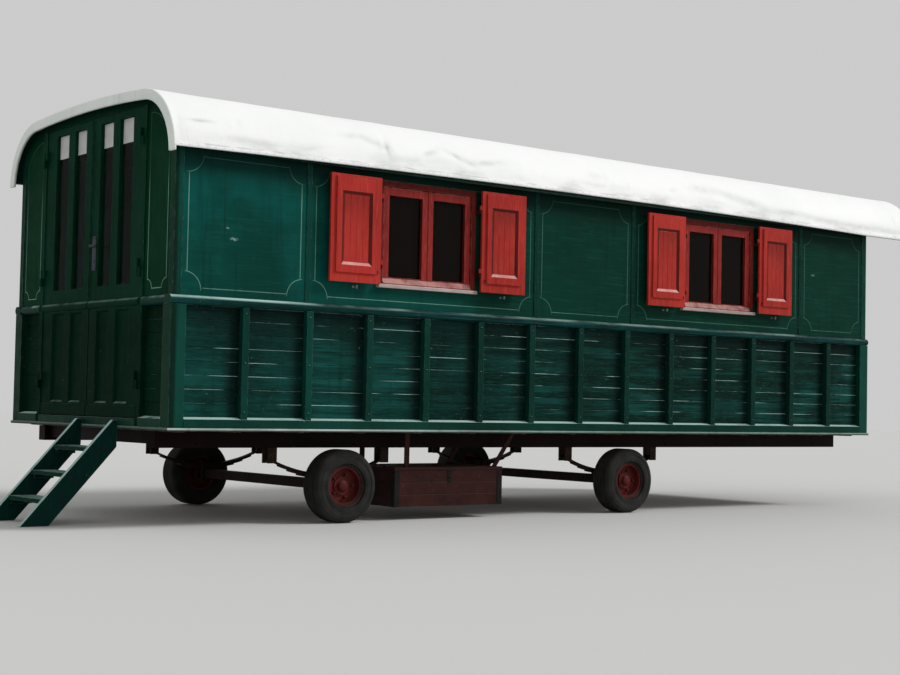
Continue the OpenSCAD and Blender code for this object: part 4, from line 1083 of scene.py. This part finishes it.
# a nut with the end of its stud, and the hub's cap as shares of its radius and mm outward
nut = [(fixing.nut, 0), (fixing.nut, 9 * mm), (8 * mm, 12 * mm), (4 * mm, 12 * mm), (4 * mm, 17 * mm)]
cap = [(fixing.cap * share, out * mm)
       for share, out in ((1, 0), (1, 8), (0.94, 16), (0.75, 22), (0.4, 25), (0, 26))]
for wheel in wheels:
    lo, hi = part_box(wheel + "_rim")
    middle = (lo + hi) / 2
    outward = Vector((0, -1 if middle.y < 0 else 1, 0))
    body = min((n for n in pivots if "wheel" in n), key=lambda n: (pivots[n] - middle).length)
    bm = bmesh.new()
    for a in (2 * pi * i / fixing.bossCount for i in range(fixing.bossCount)):
        spot = middle + outward * fixing.bossOut + Vector((fixing.boss * cos(a), 0, fixing.boss * sin(a)))
        turned(bm, spot, outward, nut, 6)
    turned(bm, middle + outward * fixing.hubOut, outward, cap, 24)
    meshPiece(wheel + "Nuts", bm, rimPaint, body)
    lo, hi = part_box(wheel + "_tyre")
    radius = (hi.z - lo.z) / 2
    bm = bmesh.new()
    for share, out in ((0.62, 2.0), (0.67, 2.6), (0.82, 2.4)):
        shape = ((0, -1), (2, out), (5, out), (7, -1))
        ring = [(radius * share + more * mm, proud * mm) for more, proud in shape]
        turned(bm, middle + outward * (hi.y - lo.y) / 2, outward, ring, 96, closed=False)
    meshPiece(wheel + "Sidewall", bm, tyreBlack, body)
print("the running gear is bolted up")


# the box under the floor: planked sides, corner straps and a hasp

chest = inMetres({"plankRows": 3, "plankMm": 9, "plankGapMm": 0.5, "strapMm": 38, "strapOutMm": 3,
                  "insetMm": 2, "headMm": 5, "headFootMm": 30, "headTopMm": 35, "haspWideMm": 34,
                  "haspLongMm": 90, "stapleDownMm": 50, "stapleOutMm": 6, "stapleMm": 4})
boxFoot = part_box("underfloor_box")[0].z
spots = [v.co for v in frame["nodes"]["underfloor_box"].data.vertices]
xs, ys = zip(*((round(spot.x, 4), round(spot.y, 4)) for spot in spots if spot.z < boxFoot + mm))
c0 = Vector((min(xs), min(ys), boxFoot))
c1 = Vector((max(xs), max(ys), min(spot.z for spot in spots if spot.y < c0.y - 5 * mm)))
bm = bmesh.new()
high = (c1.z - c0.z - chest.inset) / chest.plankRows
for row in range(chest.plankRows):
    for axis, (corner, side) in product((1, 0), ((c0, -1), (c1, 1))):
        a = c0 + Vector((chest.inset, chest.inset, row * high + chest.plankGap))
        b = Vector((c1.x - chest.inset, c1.y - chest.inset, c0.z + (row + 1) * high))
        a[axis], b[axis] = corner[axis] + side * chest.plank, corner[axis] - side * mm
        slab(bm, a, b, 2.5 * mm)
meshPiece("chestPlanks", bm, boxPaint)
bm = bmesh.new()
strap, out = chest.strap, chest.plank
proud = out + chest.strapOut
for (x, side), (y, depth) in product(((c0.x, 1), (c1.x, -1)), ((c0.y, 1), (c1.y, -1))):
    corner = (x - side * proud, y - depth * proud, c0.z)
    slab(bm, corner, (x + side * strap, y - depth * out, c1.z - 3 * mm), mm)
    slab(bm, corner, (x - side * out, y + depth * strap, c1.z - 3 * mm), mm)
    for z in (c0.z + chest.headFoot, (c0.z + c1.z) / 2, c1.z - chest.headTop):
        domeHead(bm, (x + side * strap / 2, y - depth * proud, z), (0, -depth, 0), chest.head, 8)
x, half = (c0.x + c1.x) / 2, chest.haspWide / 2
slab(bm, (x - half, c0.y - proud, c1.z - chest.haspLong), (x + half, c0.y - out, c1.z - mm), mm)
staple = Vector((x, c0.y - proud - chest.stapleOut, c1.z - chest.stapleDown))
reach = Vector((half - 5 * mm, 0, 0))
rod(bm, staple - reach, staple + reach, chest.staple, 10)
meshPiece("chestIrons", bm, blackIron)
print("the box is planked")


# steps: a cleat under each end of each tread, and bolts through the stringers

steps = inMetres({"cleatMm": 22, "cleatHighMm": 30, "cleatFrontMm": 14, "cleatBackMm": 20, "boltMm": 8})
stringers = sorted(solidBoxes("step_stringers"), key=lambda b: b[0].y)
bm, bolts = bmesh.new(), bmesh.new()
for lo, hi in solidBoxes("step_treads"):
    for y, inward, boltY in ((lo.y, 1, stringers[0][0].y), (hi.y, -1, stringers[-1][1].y)):
        slab(bm, (lo.x + steps.cleatFront, y, lo.z - steps.cleatHigh),
             (hi.x - steps.cleatBack, y + inward * steps.cleat, lo.z), 2.5 * mm)
        for share in (0.3, 0.7):
            spot = (lo.x + (hi.x - lo.x) * share, boltY, (lo.z + hi.z) / 2)
            domeHead(bolts, spot, (0, -inward, 0), steps.bolt)
meshPiece("stepCleats", bm, stepEnamel)
meshPiece("stepBolts", bolts, blackIron)
print("the steps are cleated and bolted")


# light, floor and camera

view = {"focalPx": 1585.1, "widthPx": 900, "place": (-8.4433, -10.3386, 0.8521),
        "turns": ((-38.20, "Z"), (2.395, "X"), (-1.157, "Y"), (90, "X"))}
scene = bpy.context.scene
camera = bpy.data.cameras.new("camera")
camera.sensor_width = 36
camera.lens = camera.sensor_width * view["focalPx"] / view["widthPx"]
viewer = newObject("camera", camera)
viewer.matrix_world = Matrix.Translation(view["place"])
for degrees, axis in view["turns"]:
    viewer.matrix_world = viewer.matrix_world @ Matrix.Rotation(radians(degrees), 4, axis)
scene.camera = viewer

studio = {"ambient": 0.6, "backdrop": 0.6, "floor": "#cbcbc9", "sunStrength": 2.0, "sunSoftDeg": 14,
          "sunTravel": (-0.78, 0.50, -0.72)}
world = bpy.data.worlds.new("studio")
world.use_nodes = True
tree = world.node_tree
tree.nodes.clear()
path = addNode(tree, "LightPath")
glossy = addNode(tree, "Math", {0: path.outputs["Is Glossy Ray"], 1: path.outputs["Is Transmission Ray"]},
                 operation="MAXIMUM")
seen = addNode(tree, "Math", {0: path.outputs["Is Camera Ray"], 1: glossy}, operation="MAXIMUM")
level = addNode(tree, "MapRange", {"Value": seen, "To Min": studio["ambient"], "To Max": studio["backdrop"]})
sky = addNode(tree, "Background", {"Color": (1, 1, 1, 1), "Strength": level})
addNode(tree, "OutputWorld", {"Surface": sky})
scene.world = world

sunData = bpy.data.lights.new("key", "SUN")
sunData.energy = studio["sunStrength"]
sunData.angle = radians(studio["sunSoftDeg"])
newObject("key", sunData).rotation_euler = Vector(studio["sunTravel"]).to_track_quat("-Z", "Y").to_euler()

floorMesh = bpy.data.meshes.new("floor")
floorMesh.from_pydata([(-60, -60, 0), (60, -60, 0), (60, 60, 0), (-60, 60, 0)], [], [(0, 1, 2, 3)])
floorPiece = newObject("floor", floorMesh)
floorPiece.location.z = -0.002
floorPaint = newMaterial("paleStudioFloor", {})[0]
floorMesh.materials.append(closeMaterial(floorPaint, srgb(studio["floor"]), 0.9, 0.1, {}))

scene.view_settings.view_transform = "Standard"
print("light, floor and camera are set")
